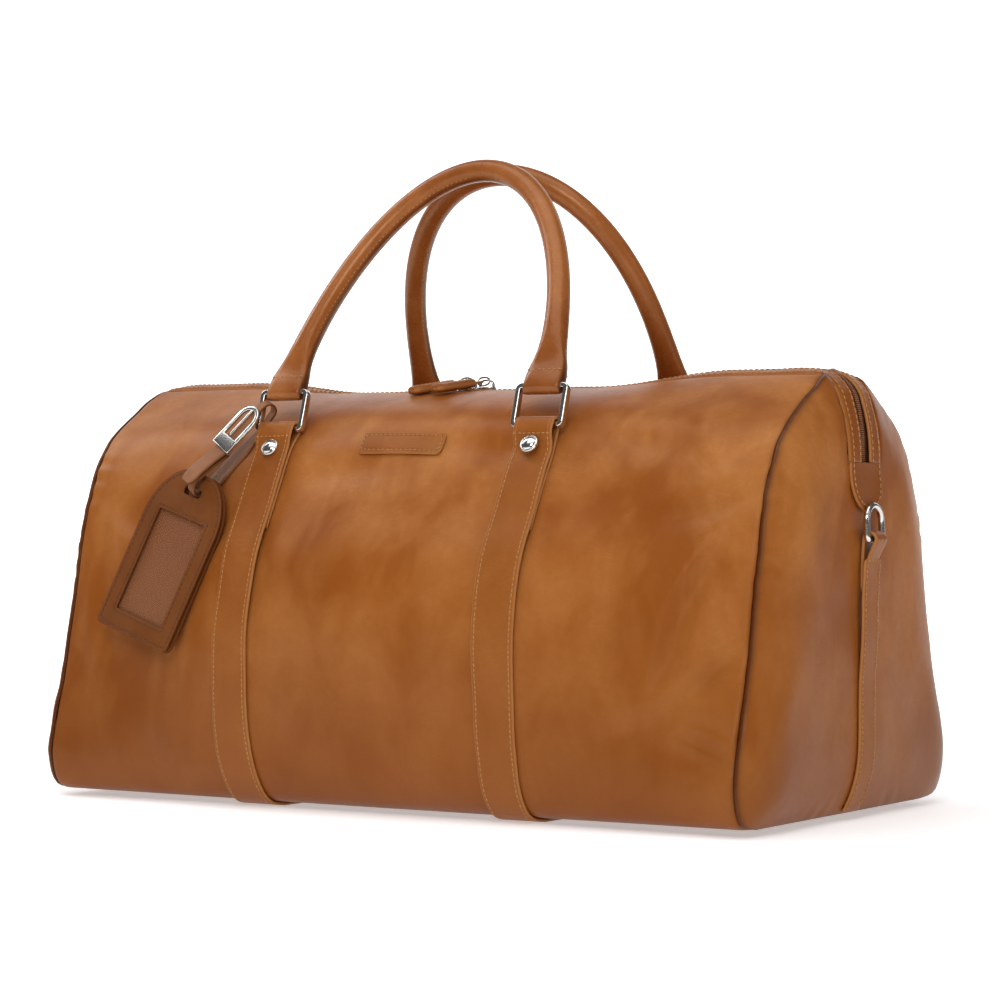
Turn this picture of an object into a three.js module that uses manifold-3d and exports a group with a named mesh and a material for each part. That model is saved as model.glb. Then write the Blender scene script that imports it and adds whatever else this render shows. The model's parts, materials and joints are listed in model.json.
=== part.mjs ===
// Leather weekender bag: stitched leather body on a stiff base, long top zip, two rolled handles
// on rings, end D-rings and a luggage tag. Millimetres, +X along the length, +Y to the back, +Z up.
// The origin is on the ground under the middle of the bag.
import * as THREE from 'three';
import { mergeVertices } from 'three/addons/utils/BufferGeometryUtils.js';
import Module from 'manifold-3d';

const wasm = await Module();
wasm.setup();

// body
const seamX = 259;          // end seams
const plyGap = 0.3;         // air between pieces that lie on each other
const panelThick = 2.4;
const liningThick = 0.8;
const liningGap = 1.2;
const endStep = 2.6;        // the end panel's edge stands this far outside the seam
const endBulge = 13.6;
const bulgeReach = 55;
const endCentreZ = 130;
const plumpness = 2.0;      // how the depth falls from the middle to the end seams
const sagStart = 95;
const sagEnd = 185;
// zip
const zipSlotHalf = 6.5;
const facingHalf = 21.2;
const facingThick = 2.2;
const zipEndZ = 222;
const coilHeight = 2.2;
const tabBottomZ = 191;
const tabHalf = 22;
// straps and rings
const strapX = 99.4;
const strapWidth = 28;
const strapThick = 2.2;
const loopRadius = 4.2;     // middle of the leather round a ring bar
const ringWidth = 38;
const ringHeight = 29;
const ringBar = 3.4;
const ringDepth = 4.2;
const rivetRadius = 6.25;
// front patch
const patchHalf = 31;
const patchTop = 3.52;      // stations of its upper and lower edges
const patchBottom = 4.07;
const patchThick = 1.6;
// handles
const handleTube = 7.5;
const handleCore = 4.3;
const handleReach = 170;    // ring bar to the top of the arch
const handleEndWidth = 27;
// end rings
const dRingWidth = 25;
const dRingHeight = 25;
const dRingWire = 2;
const endStrapWidth = 21;
const endLoopWidth = 15;
const dRingZ = 174;
const dRingLean = THREE.MathUtils.degToRad(-2.5);
// luggage tag
const tagWidth = 76;
const tagHeight = 118;
const tagTurn = THREE.MathUtils.degToRad(18);
const tagStrapWidth = 14;

// Half of the body's section in the middle and at the end seams, as [depth, height] from the zip
// down the front to the middle of the base. Both lists run over the same seams and swells.
const middleSection = [[0, 272], [22, 271.3], [60, 264], [88, 251], [105.5, 229], [127, 194],
  [146, 160], [155.5, 120], [155.5, 80], [151, 48], [143, 24], [129, 6.7], [112, 2.4], [0, 2.4]];
const endSection = [[0, 281], [22, 276.5], [52, 260], [80, 240], [95, 219], [106, 190],
  [113, 160], [121, 120], [130, 80], [139, 50], [142.5, 26], [135, 7.6], [113, 3.5], [0, 2.8]];
const lastStation = middleSection.length - 1;
const topSeam = 1;
const baseSeam = 12;

const colours = {
  leather: [0xb5651d, 0.5, 0], strap: [0xb06428, 0.55, 0], tag: [0xa05a30, 0.65, 0],
  nickel: [0xd8d6d0, 0.2, 1], tape: [0x3a2418, 0.9, 0], coil: [0x5a3018, 0.5, 0],
  lining: [0x8a7860, 0.95, 0], board: [0x2c2824, 0.9, 0], core: [0xc8b898, 0.95, 0],
  clear: [0xd8c8b8, 0.1, 0]
};

const bag = new THREE.Group();

function addMesh(name, colour, geometry, parent = bag) {
  const [color, roughness, metalness] = colours[colour];
  const material = new THREE.MeshStandardMaterial({ color, roughness, metalness });
  const mesh = new THREE.Mesh(geometry, material);
  mesh.name = name;
  parent.add(mesh);
  return mesh;
}

function smooth(low, high, value) {
  return THREE.MathUtils.smoothstep(value, low, high);
}

// ---- closed meshes and booleans ----

function meshVolume(points, faces) {
  const cross = new THREE.Vector3();
  let sum = 0;
  for (const [a, b, c] of faces) {
    sum += points[a].dot(cross.crossVectors(points[b], points[c]));
  }
  return sum / 6;
}

function meshFrom(points, faces) {
  const outward = meshVolume(points, faces) > 0;
  const index = [];
  for (const [a, b, c] of faces) {
    index.push(...(outward ? [a, b, c] : [a, c, b]));
  }
  const geometry = new THREE.BufferGeometry().setFromPoints(points);
  geometry.setIndex(index);
  return geometry;
}

// A closed sheet between two grids of points, each rows x columns.
function slab(rows, columns, outer, inner) {
  const points = [];
  for (const side of [outer, inner]) {
    for (let i = 0; i <= rows; i++) {
      for (let j = 0; j <= columns; j++) {
        points.push(side(i / rows, j / columns));
      }
    }
  }
  const width = columns + 1;
  const back = (rows + 1) * width;
  const faces = [];
  const quad = (a, b, c, d) => faces.push([a, b, c], [a, c, d]);
  for (let i = 0; i < rows; i++) {
    for (let j = 0; j < columns; j++) {
      const a = i * width + j;
      quad(a, a + width, a + width + 1, a + 1);
      quad(a + back, a + back + 1, a + back + width + 1, a + back + width);
    }
  }
  for (let i = 0; i < rows; i++) {
    const a = i * width;
    quad(a, a + back, a + back + width, a + width);
    const b = a + columns;
    quad(b, b + width, b + width + back, b + back);
  }
  for (let j = 0; j < columns; j++) {
    quad(j, j + 1, j + 1 + back, j + back);
    const c = rows * width + j;
    quad(c, c + back, c + back + 1, c + 1);
  }
  return meshFrom(points, faces);
}

// A strip of leather: pathAt(v) gives its middle line at v = -1..1 across the width.
function ribbon(pathAt, thick, across = 1) {
  const step = 0.001;
  const lines = [];
  for (let j = 0; j <= across; j++) {
    const v = 2 * j / across - 1;
    const line = pathAt(v);
    const beside = pathAt(v + (v > 0 ? -step : step));
    const sign = v > 0 ? -1 : 1;
    lines.push(line.map((p, i) => {
      const before = line[Math.max(i - 1, 0)];
      const after = line[Math.min(i + 1, line.length - 1)];
      const along = after.clone().sub(before);
      const normal = along.cross(beside[i].clone().sub(p).multiplyScalar(sign)).normalize();
      return [p, normal];
    }));
  }
  const rows = lines[0].length - 1;
  const at = (offset) => (u, v) => {
    const [p, n] = lines[Math.round(v * across)][Math.round(u * rows)];
    return p.clone().addScaledVector(n, offset);
  };
  return slab(rows, across, at(thick / 2), at(-thick / 2));
}

function toSolid(geometry) {
  const bare = geometry.clone();
  bare.deleteAttribute('normal');
  bare.deleteAttribute('uv');
  const merged = mergeVertices(bare, 1e-5);
  return new wasm.Manifold(new wasm.Mesh({
    numProp: 3,
    vertProperties: new Float32Array(merged.attributes.position.array),
    triVerts: new Uint32Array(merged.index.array)
  }));
}

function fromSolid(solid) {
  const mesh = solid.getMesh();
  const geometry = new THREE.BufferGeometry();
  geometry.setAttribute('position', new THREE.BufferAttribute(mesh.vertProperties, 3));
  geometry.setIndex(new THREE.BufferAttribute(mesh.triVerts, 1));
  return geometry;
}

function cut(geometry, ...tools) {
  return fromSolid(tools.reduce((body, tool) => body.subtract(toSolid(tool)), toSolid(geometry)));
}

function join(...geometries) {
  return fromSolid(geometries.map(toSolid).reduce((body, piece) => body.add(piece)));
}

function tube(curve, radius, steps, sides) {
  const ring = new THREE.Shape();
  for (let i = 0; i < sides; i++) {
    const angle = 2 * Math.PI * i / sides;
    const method = i === 0 ? 'moveTo' : 'lineTo';
    ring[method](radius * Math.cos(angle), radius * Math.sin(angle));
  }
  ring.closePath();
  return new THREE.ExtrudeGeometry(ring, { steps, extrudePath: curve, bevelEnabled: false });
}

// An endless wire along a closed curve.
function closedWire(curve, radius, steps, sides) {
  const frames = curve.computeFrenetFrames(steps, true);
  const points = [];
  const faces = [];
  for (let i = 0; i < steps; i++) {
    const centre = curve.getPointAt(i / steps);
    for (let j = 0; j < sides; j++) {
      const angle = 2 * Math.PI * j / sides;
      const point = centre.clone().addScaledVector(frames.normals[i], radius * Math.cos(angle));
      points.push(point.addScaledVector(frames.binormals[i], radius * Math.sin(angle)));
      const a = i * sides + j;
      const b = i * sides + (j + 1) % sides;
      const c = (i + 1) % steps * sides + (j + 1) % sides;
      const d = (i + 1) % steps * sides + j;
      faces.push([a, b, c], [a, c, d]);
    }
  }
  return meshFrom(points, faces);
}

function boxAt(width, depth, height, x, y, z) {
  return new THREE.BoxGeometry(width, depth, height).translate(x, y, z);
}

// ---- the body's surface ----

const sectionCache = new Map();

function sectionAt(x) {
  const key = Math.abs(x).toFixed(4);
  if (!sectionCache.has(key)) {
    const swell = Math.pow(Math.min(Math.abs(x) / seamX, 1), plumpness);
    const sag = smooth(sagStart, sagEnd, Math.abs(x));
    const points = middleSection.map(([y, z], i) => {
      const [endY, endZ] = endSection[i];
      const rise = i <= topSeam ? sag : swell;
      return new THREE.Vector3(0, y + (endY - y) * swell, z + (endZ - z) * rise);
    });
    sectionCache.set(key, new THREE.CatmullRomCurve3(points, false, 'centripetal'));
  }
  return sectionCache.get(key);
}

// Point of the body's outside. side is -1 at the front, 1 at the back; depth goes inwards.
function skin(x, station, side, depth = 0) {
  const at = (px, s) => {
    const p = sectionAt(px).getPoint(THREE.MathUtils.clamp(s / lastStation, 0, 1));
    return new THREE.Vector3(px, p.y * side, p.z);
  };
  const s = THREE.MathUtils.clamp(station, 0.01, lastStation - 0.01);
  const down = at(x, s + 0.01).sub(at(x, s - 0.01));
  const along = at(x + 0.5, s).sub(at(x - 0.5, s));
  const normal = along.cross(down).multiplyScalar(side).normalize();
  return at(x, station).addScaledVector(normal, -depth);
}

// Height of the zip line at a distance y from the middle.
function topHeight(x, y) {
  const section = sectionAt(x);
  const middle = section.getPoint(0).z;
  const edge = section.getPoint(topSeam / lastStation).z;
  return middle + (edge - middle) * (y / 22) ** 2;
}

// Outline of the end seam seen from its centre: distance for an angle from straight up.
const endOutline = [];
for (let i = 0; i <= 130; i++) {
  const p = sectionAt(seamX).getPoint(i / 130);
  endOutline.push([Math.atan2(p.y, p.z - endCentreZ), Math.hypot(p.y, p.z - endCentreZ)]);
}

function outlineRadius(angle) {
  const a = Math.abs(angle);
  for (let i = 1; i < endOutline.length; i++) {
    const [a0, r0] = endOutline[i - 1];
    const [a1, r1] = endOutline[i];
    if (a <= a1) {
      return r0 + (r1 - r0) * (a - a0) / (a1 - a0);
    }
  }
  return endOutline.at(-1)[1];
}

// How far out the end panel stands at a point of the end (always for the +X end).
function endX(y, z) {
  const radius = outlineRadius(Math.atan2(y, z - endCentreZ));
  const inside = Math.max(radius - Math.hypot(y, z - endCentreZ), 0);
  const swell = 1 - Math.pow(1 - Math.min(inside / bulgeReach, 1), 2.6);
  return seamX + endStep + endBulge * swell;
}

// ---- leather body ----

const panelRows = 15;
const panelColumns = 13;
const firstRow = topSeam + 0.02;
const lastRow = baseSeam - 0.02;

// Everything that lies on a side panel bends at the panel's own rows.
function rowStation(row) {
  return firstRow + (lastRow - firstRow) * row / panelRows;
}

function sidePanel(side) {
  const edge = seamX - plyGap;
  const at = (depth) => (u, v) => skin(edge * (2 * u - 1), rowStation(v * panelRows), side, depth);
  return slab(panelColumns, panelRows, at(0), at(panelThick));
}

function basePanel() {
  const edge = seamX - plyGap;
  const reach = lastStation - baseSeam - 0.02;
  const at = (depth) => (u, v) => {
    const across = 2 * v - 1;
    const side = across < 0 ? -1 : 1;
    return skin(edge * (2 * u - 1), lastStation - reach * Math.abs(across), side, depth);
  };
  return slab(panelColumns, 2, at(0), at(panelThick));
}

const endRings = [1, 0.94, 0.86, 0.74, 0.5];
const spokes = 28;

function endPanel(side) {
  const rings = endRings;
  const points = [];
  for (const inner of [false, true]) {
    for (const r of rings) {
      for (let i = 0; i < spokes; i++) {
        const angle = 2 * Math.PI * i / spokes;
        const folded = angle > Math.PI ? 2 * Math.PI - angle : angle;
        const reach = outlineRadius(folded) * r;
        const y = reach * Math.sin(angle);
        const z = endCentreZ + reach * Math.cos(angle);
        points.push(new THREE.Vector3(side * (endX(y, z) - (inner ? panelThick : 0)), y, z));
      }
    }
    const tip = endX(0, endCentreZ) - (inner ? panelThick : 0);
    points.push(new THREE.Vector3(side * tip, 0, endCentreZ));
  }
  const half = rings.length * spokes + 1;
  const faces = [];
  for (const start of [0, half]) {
    const flip = start > 0;
    const add = (a, b, c) => faces.push(flip ? [a, c, b] : [a, b, c]);
    for (let k = 0; k < rings.length; k++) {
      for (let i = 0; i < spokes; i++) {
        const a = start + k * spokes + i;
        const b = start + k * spokes + (i + 1) % spokes;
        if (k === rings.length - 1) {
          add(a, b, start + half - 1);
        } else {
          add(a, b, b + spokes);
          add(a, b + spokes, a + spokes);
        }
      }
    }
  }
  for (let i = 0; i < spokes; i++) {
    const b = (i + 1) % spokes;
    faces.push([i, i + half, b + half], [i, b + half, b]);
  }
  const notchTop = 300;
  const notch = boxAt(60, 2 * (facingHalf + 1), notchTop - zipEndZ + 1,
    side * (seamX + 10), 0, (notchTop + zipEndZ - 1) / 2);
  return cut(meshFrom(points, faces), notch);
}

function linedSide(side) {
  const depth = panelThick + liningGap;
  const edge = seamX - 3;
  const at = (d) => (u, v) => skin(edge * (2 * u - 1), rowStation(v * panelRows), side, d);
  return slab(panelColumns, panelRows, at(depth), at(depth + liningThick));
}

function liningBase() {
  const floor = middleSection[baseSeam][1] + endSection[baseSeam][1] / 2 + panelThick + 1;
  return boxAt(2 * (seamX - 6), 216, liningThick, 0, 0, floor);
}

function liningEnd(side) {
  const rows = 8;
  const columns = 6;
  const inset = 20;
  const outline = (z) => {
    let low = 0;
    let high = 150;
    for (let i = 0; i < 30; i++) {
      const middle = (low + high) / 2;
      const inside = Math.hypot(middle, z - endCentreZ) <
        outlineRadius(Math.atan2(middle, z - endCentreZ));
      [low, high] = inside ? [middle, high] : [low, middle];
    }
    return low - inset;
  };
  const at = (d) => (u, v) => {
    const z = 66 + (208 - 66) * u;
    const y = outline(z) * (2 * v - 1);
    return new THREE.Vector3(side * (endX(y, z) - panelThick - liningGap - d), y, z);
  };
  return slab(rows, columns, at(0), at(liningThick));
}

addMesh('front_panel', 'leather', sidePanel(-1));
addMesh('back_panel', 'leather', sidePanel(1));
addMesh('base_panel', 'leather', basePanel());
addMesh('end_panel_left', 'leather', endPanel(-1));
addMesh('end_panel_right', 'leather', endPanel(1));
addMesh('lining_front', 'lining', linedSide(-1));
addMesh('lining_back', 'lining', linedSide(1));
addMesh('lining_base', 'lining', liningBase());
addMesh('lining_end_left', 'lining', liningEnd(-1));
addMesh('lining_end_right', 'lining', liningEnd(1));
addMesh('base_board', 'board', boxAt(470, 200, 3, 0, 0, 12.5));

// ---- zip ----

// Line over the top and down both ends at distance y from the middle.
function zipLine(y, fromEnd) {
  const right = [];
  for (let x = 0; x <= 240; x += 20) {
    right.push([x, topHeight(x, Math.abs(y))]);
  }
  right.push([257, 278.4 - Math.abs(y) * 0.1]);
  for (const z of [267, 256, 244, 232, fromEnd]) {
    right.push([endX(y, z), z]);
  }
  const left = right.slice(1).reverse().map(([x, z]) => [-x, z]);
  const points = [...left, ...right].map(([x, z]) => new THREE.Vector3(x, y, z));
  return new THREE.CatmullRomCurve3(points, false, 'centripetal');
}

function zipBand(side, inner, outer, top, thick, fromEnd, steps = 44) {
  const middle = top + thick / 2;
  return ribbon((v) => {
    const y = side * (inner + (outer - inner) * (v + 1) / 2);
    const line = zipLine(y, fromEnd);
    return line.getPoints(steps).map((p, i) => {
      const t = line.getTangent(i / steps);
      return p.add(new THREE.Vector3(t.z, 0, -t.x).multiplyScalar(middle));
    });
  }, thick);
}

for (const [name, side] of [['front', -1], ['back', 1]]) {
  addMesh(`zip_facing_${name}`, 'leather',
    zipBand(side, zipSlotHalf, facingHalf, 0, facingThick, zipEndZ));
  addMesh(`zip_tape_${name}`, 'tape',
    zipBand(side, 0.3, facingHalf - 2, facingThick + 0.5, 0.7, zipEndZ + 0.5));
  addMesh(`zip_coil_${name}`, 'coil', zipBand(side, 0.2, 2.6, 0.2, coilHeight, zipEndZ + 4));
}

function zipTab(side) {
  const round = 22;
  const at = (lift) => (u, v) => {
    const z = tabBottomZ + (zipEndZ - 0.6 - tabBottomZ) * u;
    const fall = Math.max(tabBottomZ + round - z, 0) / round;
    const half = tabHalf * Math.sqrt(Math.max(1 - fall ** 2.4, 0.02));
    const y = half * (2 * v - 1);
    const free = 0.5 * (1 - u);
    return new THREE.Vector3(side * (endX(y, z) + plyGap + lift + free), y, z);
  };
  return slab(10, 8, at(facingThick), at(0));
}

addMesh('zip_tab_left', 'leather', zipTab(-1));
addMesh('zip_tab_right', 'leather', zipTab(1));

// ---- straps with their chape loops ----

const chapeRow = 3.3;
const chapeStation = rowStation(chapeRow);

// Axis of the ring's lower bar, and the directions up and out of the leather there.
function chapeFrame(x, side) {
  const foot = skin(x, chapeStation, side);
  const up = skin(x, chapeStation - 0.05, side).sub(skin(x, chapeStation + 0.05, side)).normalize();
  const out = skin(x, chapeStation, side, -1).sub(foot);
  return { foot, up, out };
}

const firstPly = plyGap + strapThick / 2;
const secondPly = firstPly + strapThick + plyGap;
const loopLift = 1.2;       // the loop stands a little off the panel
const barOut = firstPly + loopRadius + loopLift;

function strapHalf(x, middleX, side) {
  const points = [];
  const { foot, up, out } = chapeFrame(middleX, side);
  foot.x = x;
  const local = (a, h) => foot.clone().addScaledVector(up, a).addScaledVector(out, h);
  const onRow = (row, height) => points.push(skin(x, rowStation(row), side, -height));
  onRow(6, firstPly);
  onRow(5, firstPly + 0.1);
  onRow(4, firstPly + 0.2);
  for (let i = 0; i <= 8; i++) {
    const angle = Math.PI * (i / 8 - 0.5);
    points.push(local(loopRadius * Math.cos(angle), barOut + loopRadius * Math.sin(angle)));
  }
  points.push(local(-7, barOut + loopRadius - 1.6));
  onRow(4, secondPly + 1.2);
  onRow(5, secondPly + 0.3);
  onRow(6, secondPly);
  for (let row = 7; row < panelRows; row++) {
    onRow(row, firstPly);
  }
  points.push(skin(x, baseSeam, side, -firstPly));
  return points;
}

function longStrap(middleX) {
  return ribbon((v) => {
    const x = middleX + v * strapWidth / 2;
    return [...strapHalf(x, middleX, -1), ...strapHalf(x, middleX, 1).reverse()];
  }, strapThick, 2);
}

const rivetStation = 3.97;

function rivetPlace(x, side) {
  const height = secondPly + strapThick / 2 + plyGap + 3.8;
  const base = skin(x, rivetStation, side, -height);
  const out = skin(x, rivetStation, side, -height - 1).sub(base).normalize();
  return [base, out];
}

function rivetCap() {
  const r = rivetRadius;
  const profile = [[0, 0], [r - 0.6, 0], [r, 0.5], [r - 0.3, 1.3], [r * 0.72, 2.1], [r * 0.4, 2.6],
    [0, 2.8]];
  return new THREE.LatheGeometry(profile.map(([x, y]) => new THREE.Vector2(x, y)), 16);
}

for (const [name, x] of [['left', -strapX], ['right', strapX]]) {
  addMesh(`strap_${name}`, 'strap', longStrap(x));
  for (const [face, side] of [['front', -1], ['back', 1]]) {
    const rivet = addMesh(`rivet_${face}_${name}`, 'nickel', rivetCap());
    const [place, out] = rivetPlace(x, side);
    rivet.position.copy(place);
    rivet.quaternion.setFromUnitVectors(new THREE.Vector3(0, 1, 0), out);
  }
}

function frontPatch() {
  const at = (depth) => (u, v) => {
    const station = patchTop + (patchBottom - patchTop) * v;
    return skin(patchHalf * (2 * u - 1), station, -1, -depth);
  };
  return slab(6, 3, at(plyGap + patchThick), at(plyGap));
}

addMesh('front_patch', 'leather', frontPatch());

// ---- rings and handles ----

function ringFrame() {
  const w = ringWidth / 2;
  const h = ringHeight / 2;
  const shape = new THREE.Shape();
  shape.moveTo(-w + 1, -h).lineTo(w - 1, -h).lineTo(w, -h + 1).lineTo(w, h - 1);
  shape.lineTo(w - 1, h).lineTo(-w + 1, h).lineTo(-w, h - 1).lineTo(-w, -h + 1).closePath();
  const iw = w - ringBar;
  const ih = h - ringBar;
  const hole = new THREE.Path();
  hole.moveTo(-iw, -ih).lineTo(-iw, ih).lineTo(iw, ih).lineTo(iw, -ih).closePath();
  shape.holes.push(hole);
  const depth = ringDepth;
  const frame = new THREE.ExtrudeGeometry(shape, { depth, bevelEnabled: false });
  frame.translate(0, h - ringBar / 2, -depth / 2);
  return frame;
}

// Where a ring's lower bar is, its lean towards the middle, and its upper bar.
function ringPlace(side, lean) {
  const { foot, out } = chapeFrame(strapX, side);
  const lower = foot.addScaledVector(out, barOut);
  const span = ringHeight - ringBar;
  const upper = lower.clone();
  upper.y -= side * Math.sin(lean) * span;
  upper.z += Math.cos(lean) * span;
  return { lower, upper };
}

// Arch of the handle in its own plane: x across, y up from the ring bars.
function archCurve(fullness, from, to = Math.PI - from) {
  const points = [];
  const steps = 26;
  for (let i = 0; i <= steps; i++) {
    const angle = from + (to - from) * i / steps;
    const height = Math.sin(angle);
    const x = strapX * Math.sign(Math.cos(angle)) * Math.sqrt(1 - Math.min(height, 1) ** fullness);
    points.push(new THREE.Vector3(x, handleReach * height, 0));
  }
  return new THREE.CatmullRomCurve3(points, false, 'centripetal');
}

// The cover's flat end: two plies that fold round the ring bar.
function handleEnd() {
  const ply = strapThick;
  const outer = loopRadius + ply / 2;
  const inner = loopRadius - ply / 2;
  const top = 21;
  const profile = new THREE.Shape();
  profile.moveTo(outer * 0.75, top).lineTo(outer, 6).lineTo(outer, 0);
  profile.absarc(0, 0, outer, 0, -Math.PI, true);
  profile.lineTo(-outer, 6).lineTo(-outer * 0.75, top).closePath();
  const hole = new THREE.Path();
  hole.moveTo(inner, 0).lineTo(inner, 6).lineTo(0.9, top - 3).lineTo(-0.9, top - 3);
  hole.lineTo(-inner, 6).lineTo(-inner, 0).absarc(0, 0, inner, Math.PI, 2 * Math.PI, false);
  profile.holes.push(hole);
  const depth = handleEndWidth;
  const flat = new THREE.ExtrudeGeometry(profile, { depth, bevelEnabled: false, curveSegments: 6 });
  return flat.translate(0, 0, -depth / 2).rotateY(Math.PI / 2);
}

function handleCover(fullness) {
  const start = 0.09;
  const outside = tube(archCurve(fullness, start), handleTube, 22, 9);
  const channel = tube(archCurve(fullness, start - 0.04), handleCore + plyGap, 22, 6);
  const ends = [-1, 1].map((side) => handleEnd().translate(side * strapX, 0, 0));
  return cut(join(outside, ...ends), channel);
}

const restLean = {
  front: { ring: THREE.MathUtils.degToRad(17), handle: THREE.MathUtils.degToRad(29.5) },
  back: { ring: THREE.MathUtils.degToRad(48), handle: THREE.MathUtils.degToRad(25) }
};
const archFullness = { front: 1.85, back: 2.5 };

for (const [face, side] of [['front', -1], ['back', 1]]) {
  const { ring, handle } = restLean[face];
  const { lower, upper } = ringPlace(side, ring);
  for (const [name, x] of [['left', -strapX], ['right', strapX]]) {
    const holder = new THREE.Group();
    holder.position.set(x, lower.y, lower.z);
    holder.rotation.x = Math.PI / 2 + side * ring;
    bag.add(holder);
    addMesh(`ring_${face}_${name}`, 'nickel', ringFrame(), holder);
  }
  const arch = new THREE.Group();
  arch.position.set(0, upper.y, upper.z);
  arch.rotation.x = Math.PI / 2 + side * handle;
  bag.add(arch);
  addMesh(`handle_${face}`, 'strap', handleCover(archFullness[face]), arch);
  addMesh(`handle_core_${face}`, 'core',
    tube(archCurve(archFullness[face], 0.13), handleCore - 0.5, 22, 6), arch);
}

// ---- end straps and D-rings ----

// The strap narrows to pass through the D-ring, folds over its bar and is stitched to itself.
function endStrap(side) {
  const bar = endX(0, dRingZ) + barOut;
  return ribbon((v) => {
    const wide = v * endStrapWidth / 2;
    const narrow = v * endLoopWidth / 2;
    const line = [];
    const onPanel = (y, z, height) => line.push([endX(y, z) + height, y, z]);
    onPanel(narrow, 142, firstPly);
    onPanel(narrow, 162, firstPly + 0.1);
    for (let i = 0; i <= 8; i++) {
      const angle = Math.PI * (i / 8 - 0.5);
      const z = dRingZ + loopRadius * Math.cos(angle);
      line.push([bar + loopRadius * Math.sin(angle), narrow, z]);
    }
    onPanel(narrow, 166, secondPly + 3.2);
    onPanel(wide, 158, secondPly + 1);
    onPanel(wide, 142, secondPly + 0.2);
    onPanel(wide, 133, firstPly + 0.6);
    const bottom = outlineRadius(Math.PI);
    for (const ring of endRings.toReversed()) {
      onPanel(wide, endCentreZ - bottom * ring + (ring === 1 ? 3 : 0), firstPly + 0.2);
    }
    return line.map(([x, y, z]) => new THREE.Vector3(side * x, y, z));
  }, strapThick, 2);
}

function dRing() {
  const half = dRingWidth / 2 - dRingWire;
  const rise = dRingHeight - 2 * dRingWire;
  const points = [];
  for (let i = 0; i <= 10; i++) {
    const angle = Math.PI * i / 10;
    const height = rise - half + half * Math.sin(angle);
    points.push(new THREE.Vector3(0, half * Math.cos(angle), height));
  }
  points.push(new THREE.Vector3(0, -half, rise - half - 5));
  points.push(new THREE.Vector3(0, -half, 0), new THREE.Vector3(0, 0, 0));
  points.push(new THREE.Vector3(0, half, 0), new THREE.Vector3(0, half, rise - half - 5));
  const path = new THREE.CatmullRomCurve3(points, true, 'catmullrom', 0.3);
  return closedWire(path, dRingWire, 26, 8);
}

for (const [name, side] of [['left', -1], ['right', 1]]) {
  addMesh(`end_strap_${name}`, 'strap', endStrap(side));
  const ring = addMesh(`d_ring_${name}`, 'nickel', dRing());
  ring.position.set(side * (endX(0, dRingZ) + barOut), 0, dRingZ);
  ring.rotation.y = side * dRingLean;
}

// ---- sliders and pulls ----

const sliderLength = 12.6;
const sliderWidth = 9.4;
const sliderX = { left: -16, right: -2 };
const bridgeZ = 5.8;        // bridge over the slider that holds the link
const linkReach = 9;
const pullLength = 42;
const pullHalf = 6;

function sliderBody() {
  const plate = boxAt(sliderLength, sliderWidth, 1.6, 0, 0, 0.8);
  const posts = [-4.2, 4.2].map((x) => boxAt(1.8, 2.2, bridgeZ - 1, x, 0, bridgeZ / 2 + 0.5));
  const bridge = boxAt(10.2, 2.2, 1.2, 0, 0, bridgeZ);
  return join(plate, ...posts, bridge);
}

// Upright oval wire through the slider's bridge and the pull's hole.
function pullLink() {
  const points = [];
  const half = 5.9;
  for (let i = 0; i < 12; i++) {
    const angle = 2 * Math.PI * i / 12;
    const along = half * Math.cos(angle) + linkReach - half;
    points.push(new THREE.Vector3(along, 0, 2.7 * Math.sin(angle)));
  }
  return closedWire(new THREE.CatmullRomCurve3(points, true), 0.65, 18, 6);
}

function pullOutline(start, end, hole) {
  const outline = new THREE.Shape();
  outline.moveTo(start, -3).lineTo(start + 12, -4.8).lineTo(end - pullHalf, -pullHalf);
  outline.absarc(end - pullHalf, 0, pullHalf, -Math.PI / 2, Math.PI / 2, false);
  outline.lineTo(start + 12, 4.8).lineTo(start, 3).closePath();
  if (hole) {
    const path = new THREE.Path();
    path.absarc(linkReach, 0, hole, 0, 2 * Math.PI, true);
    outline.holes.push(path);
  }
  return outline;
}

function leatherPull() {
  const layer = (outline, depth) =>
    new THREE.ExtrudeGeometry(outline, { depth, bevelEnabled: false, curveSegments: 5 })
      .translate(0, 0, -depth / 2);
  const end = linkReach + pullLength;
  return join(layer(pullOutline(linkReach - 2.9, end, 1.6), 1.4),
    layer(pullOutline(linkReach + 4, end - 0.01), 4.2));
}

const pullAim = { left: [-0.3, -0.94, -0.15], right: [-0.19, -0.97, -0.13] };

function pullFrame(name) {
  const aim = new THREE.Vector3(...pullAim[name]).normalize();
  const across = new THREE.Vector3().crossVectors(new THREE.Vector3(0, 0, 1), aim).normalize();
  const out = new THREE.Vector3().crossVectors(aim, across);
  return new THREE.Matrix4().makeBasis(aim, across, out);
}

for (const name of ['left', 'right']) {
  const x = sliderX[name];
  const holder = new THREE.Group();
  holder.position.set(x, 0, topHeight(x, 0) + 0.4);
  bag.add(holder);
  addMesh(`slider_${name}`, 'nickel', sliderBody(), holder);
  const pull = new THREE.Group();
  pull.position.set(0, 0, bridgeZ);
  pull.quaternion.setFromRotationMatrix(pullFrame(name));
  holder.add(pull);
  addMesh(`pull_link_${name}`, 'nickel', pullLink(), pull);
  addMesh(`zip_pull_${name}`, 'strap', leatherPull(), pull);
}

// ---- luggage tag ----

const tagSlot = new THREE.Vector3(-151, -124, 203.5);
const tagLeather = 1.4;
const windowWidth = 48;
const windowHeight = 73;
const windowLow = 14;
const slotUp = 105;         // slot above the tag's lower edge
const slotHalf = 8.6;

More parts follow.
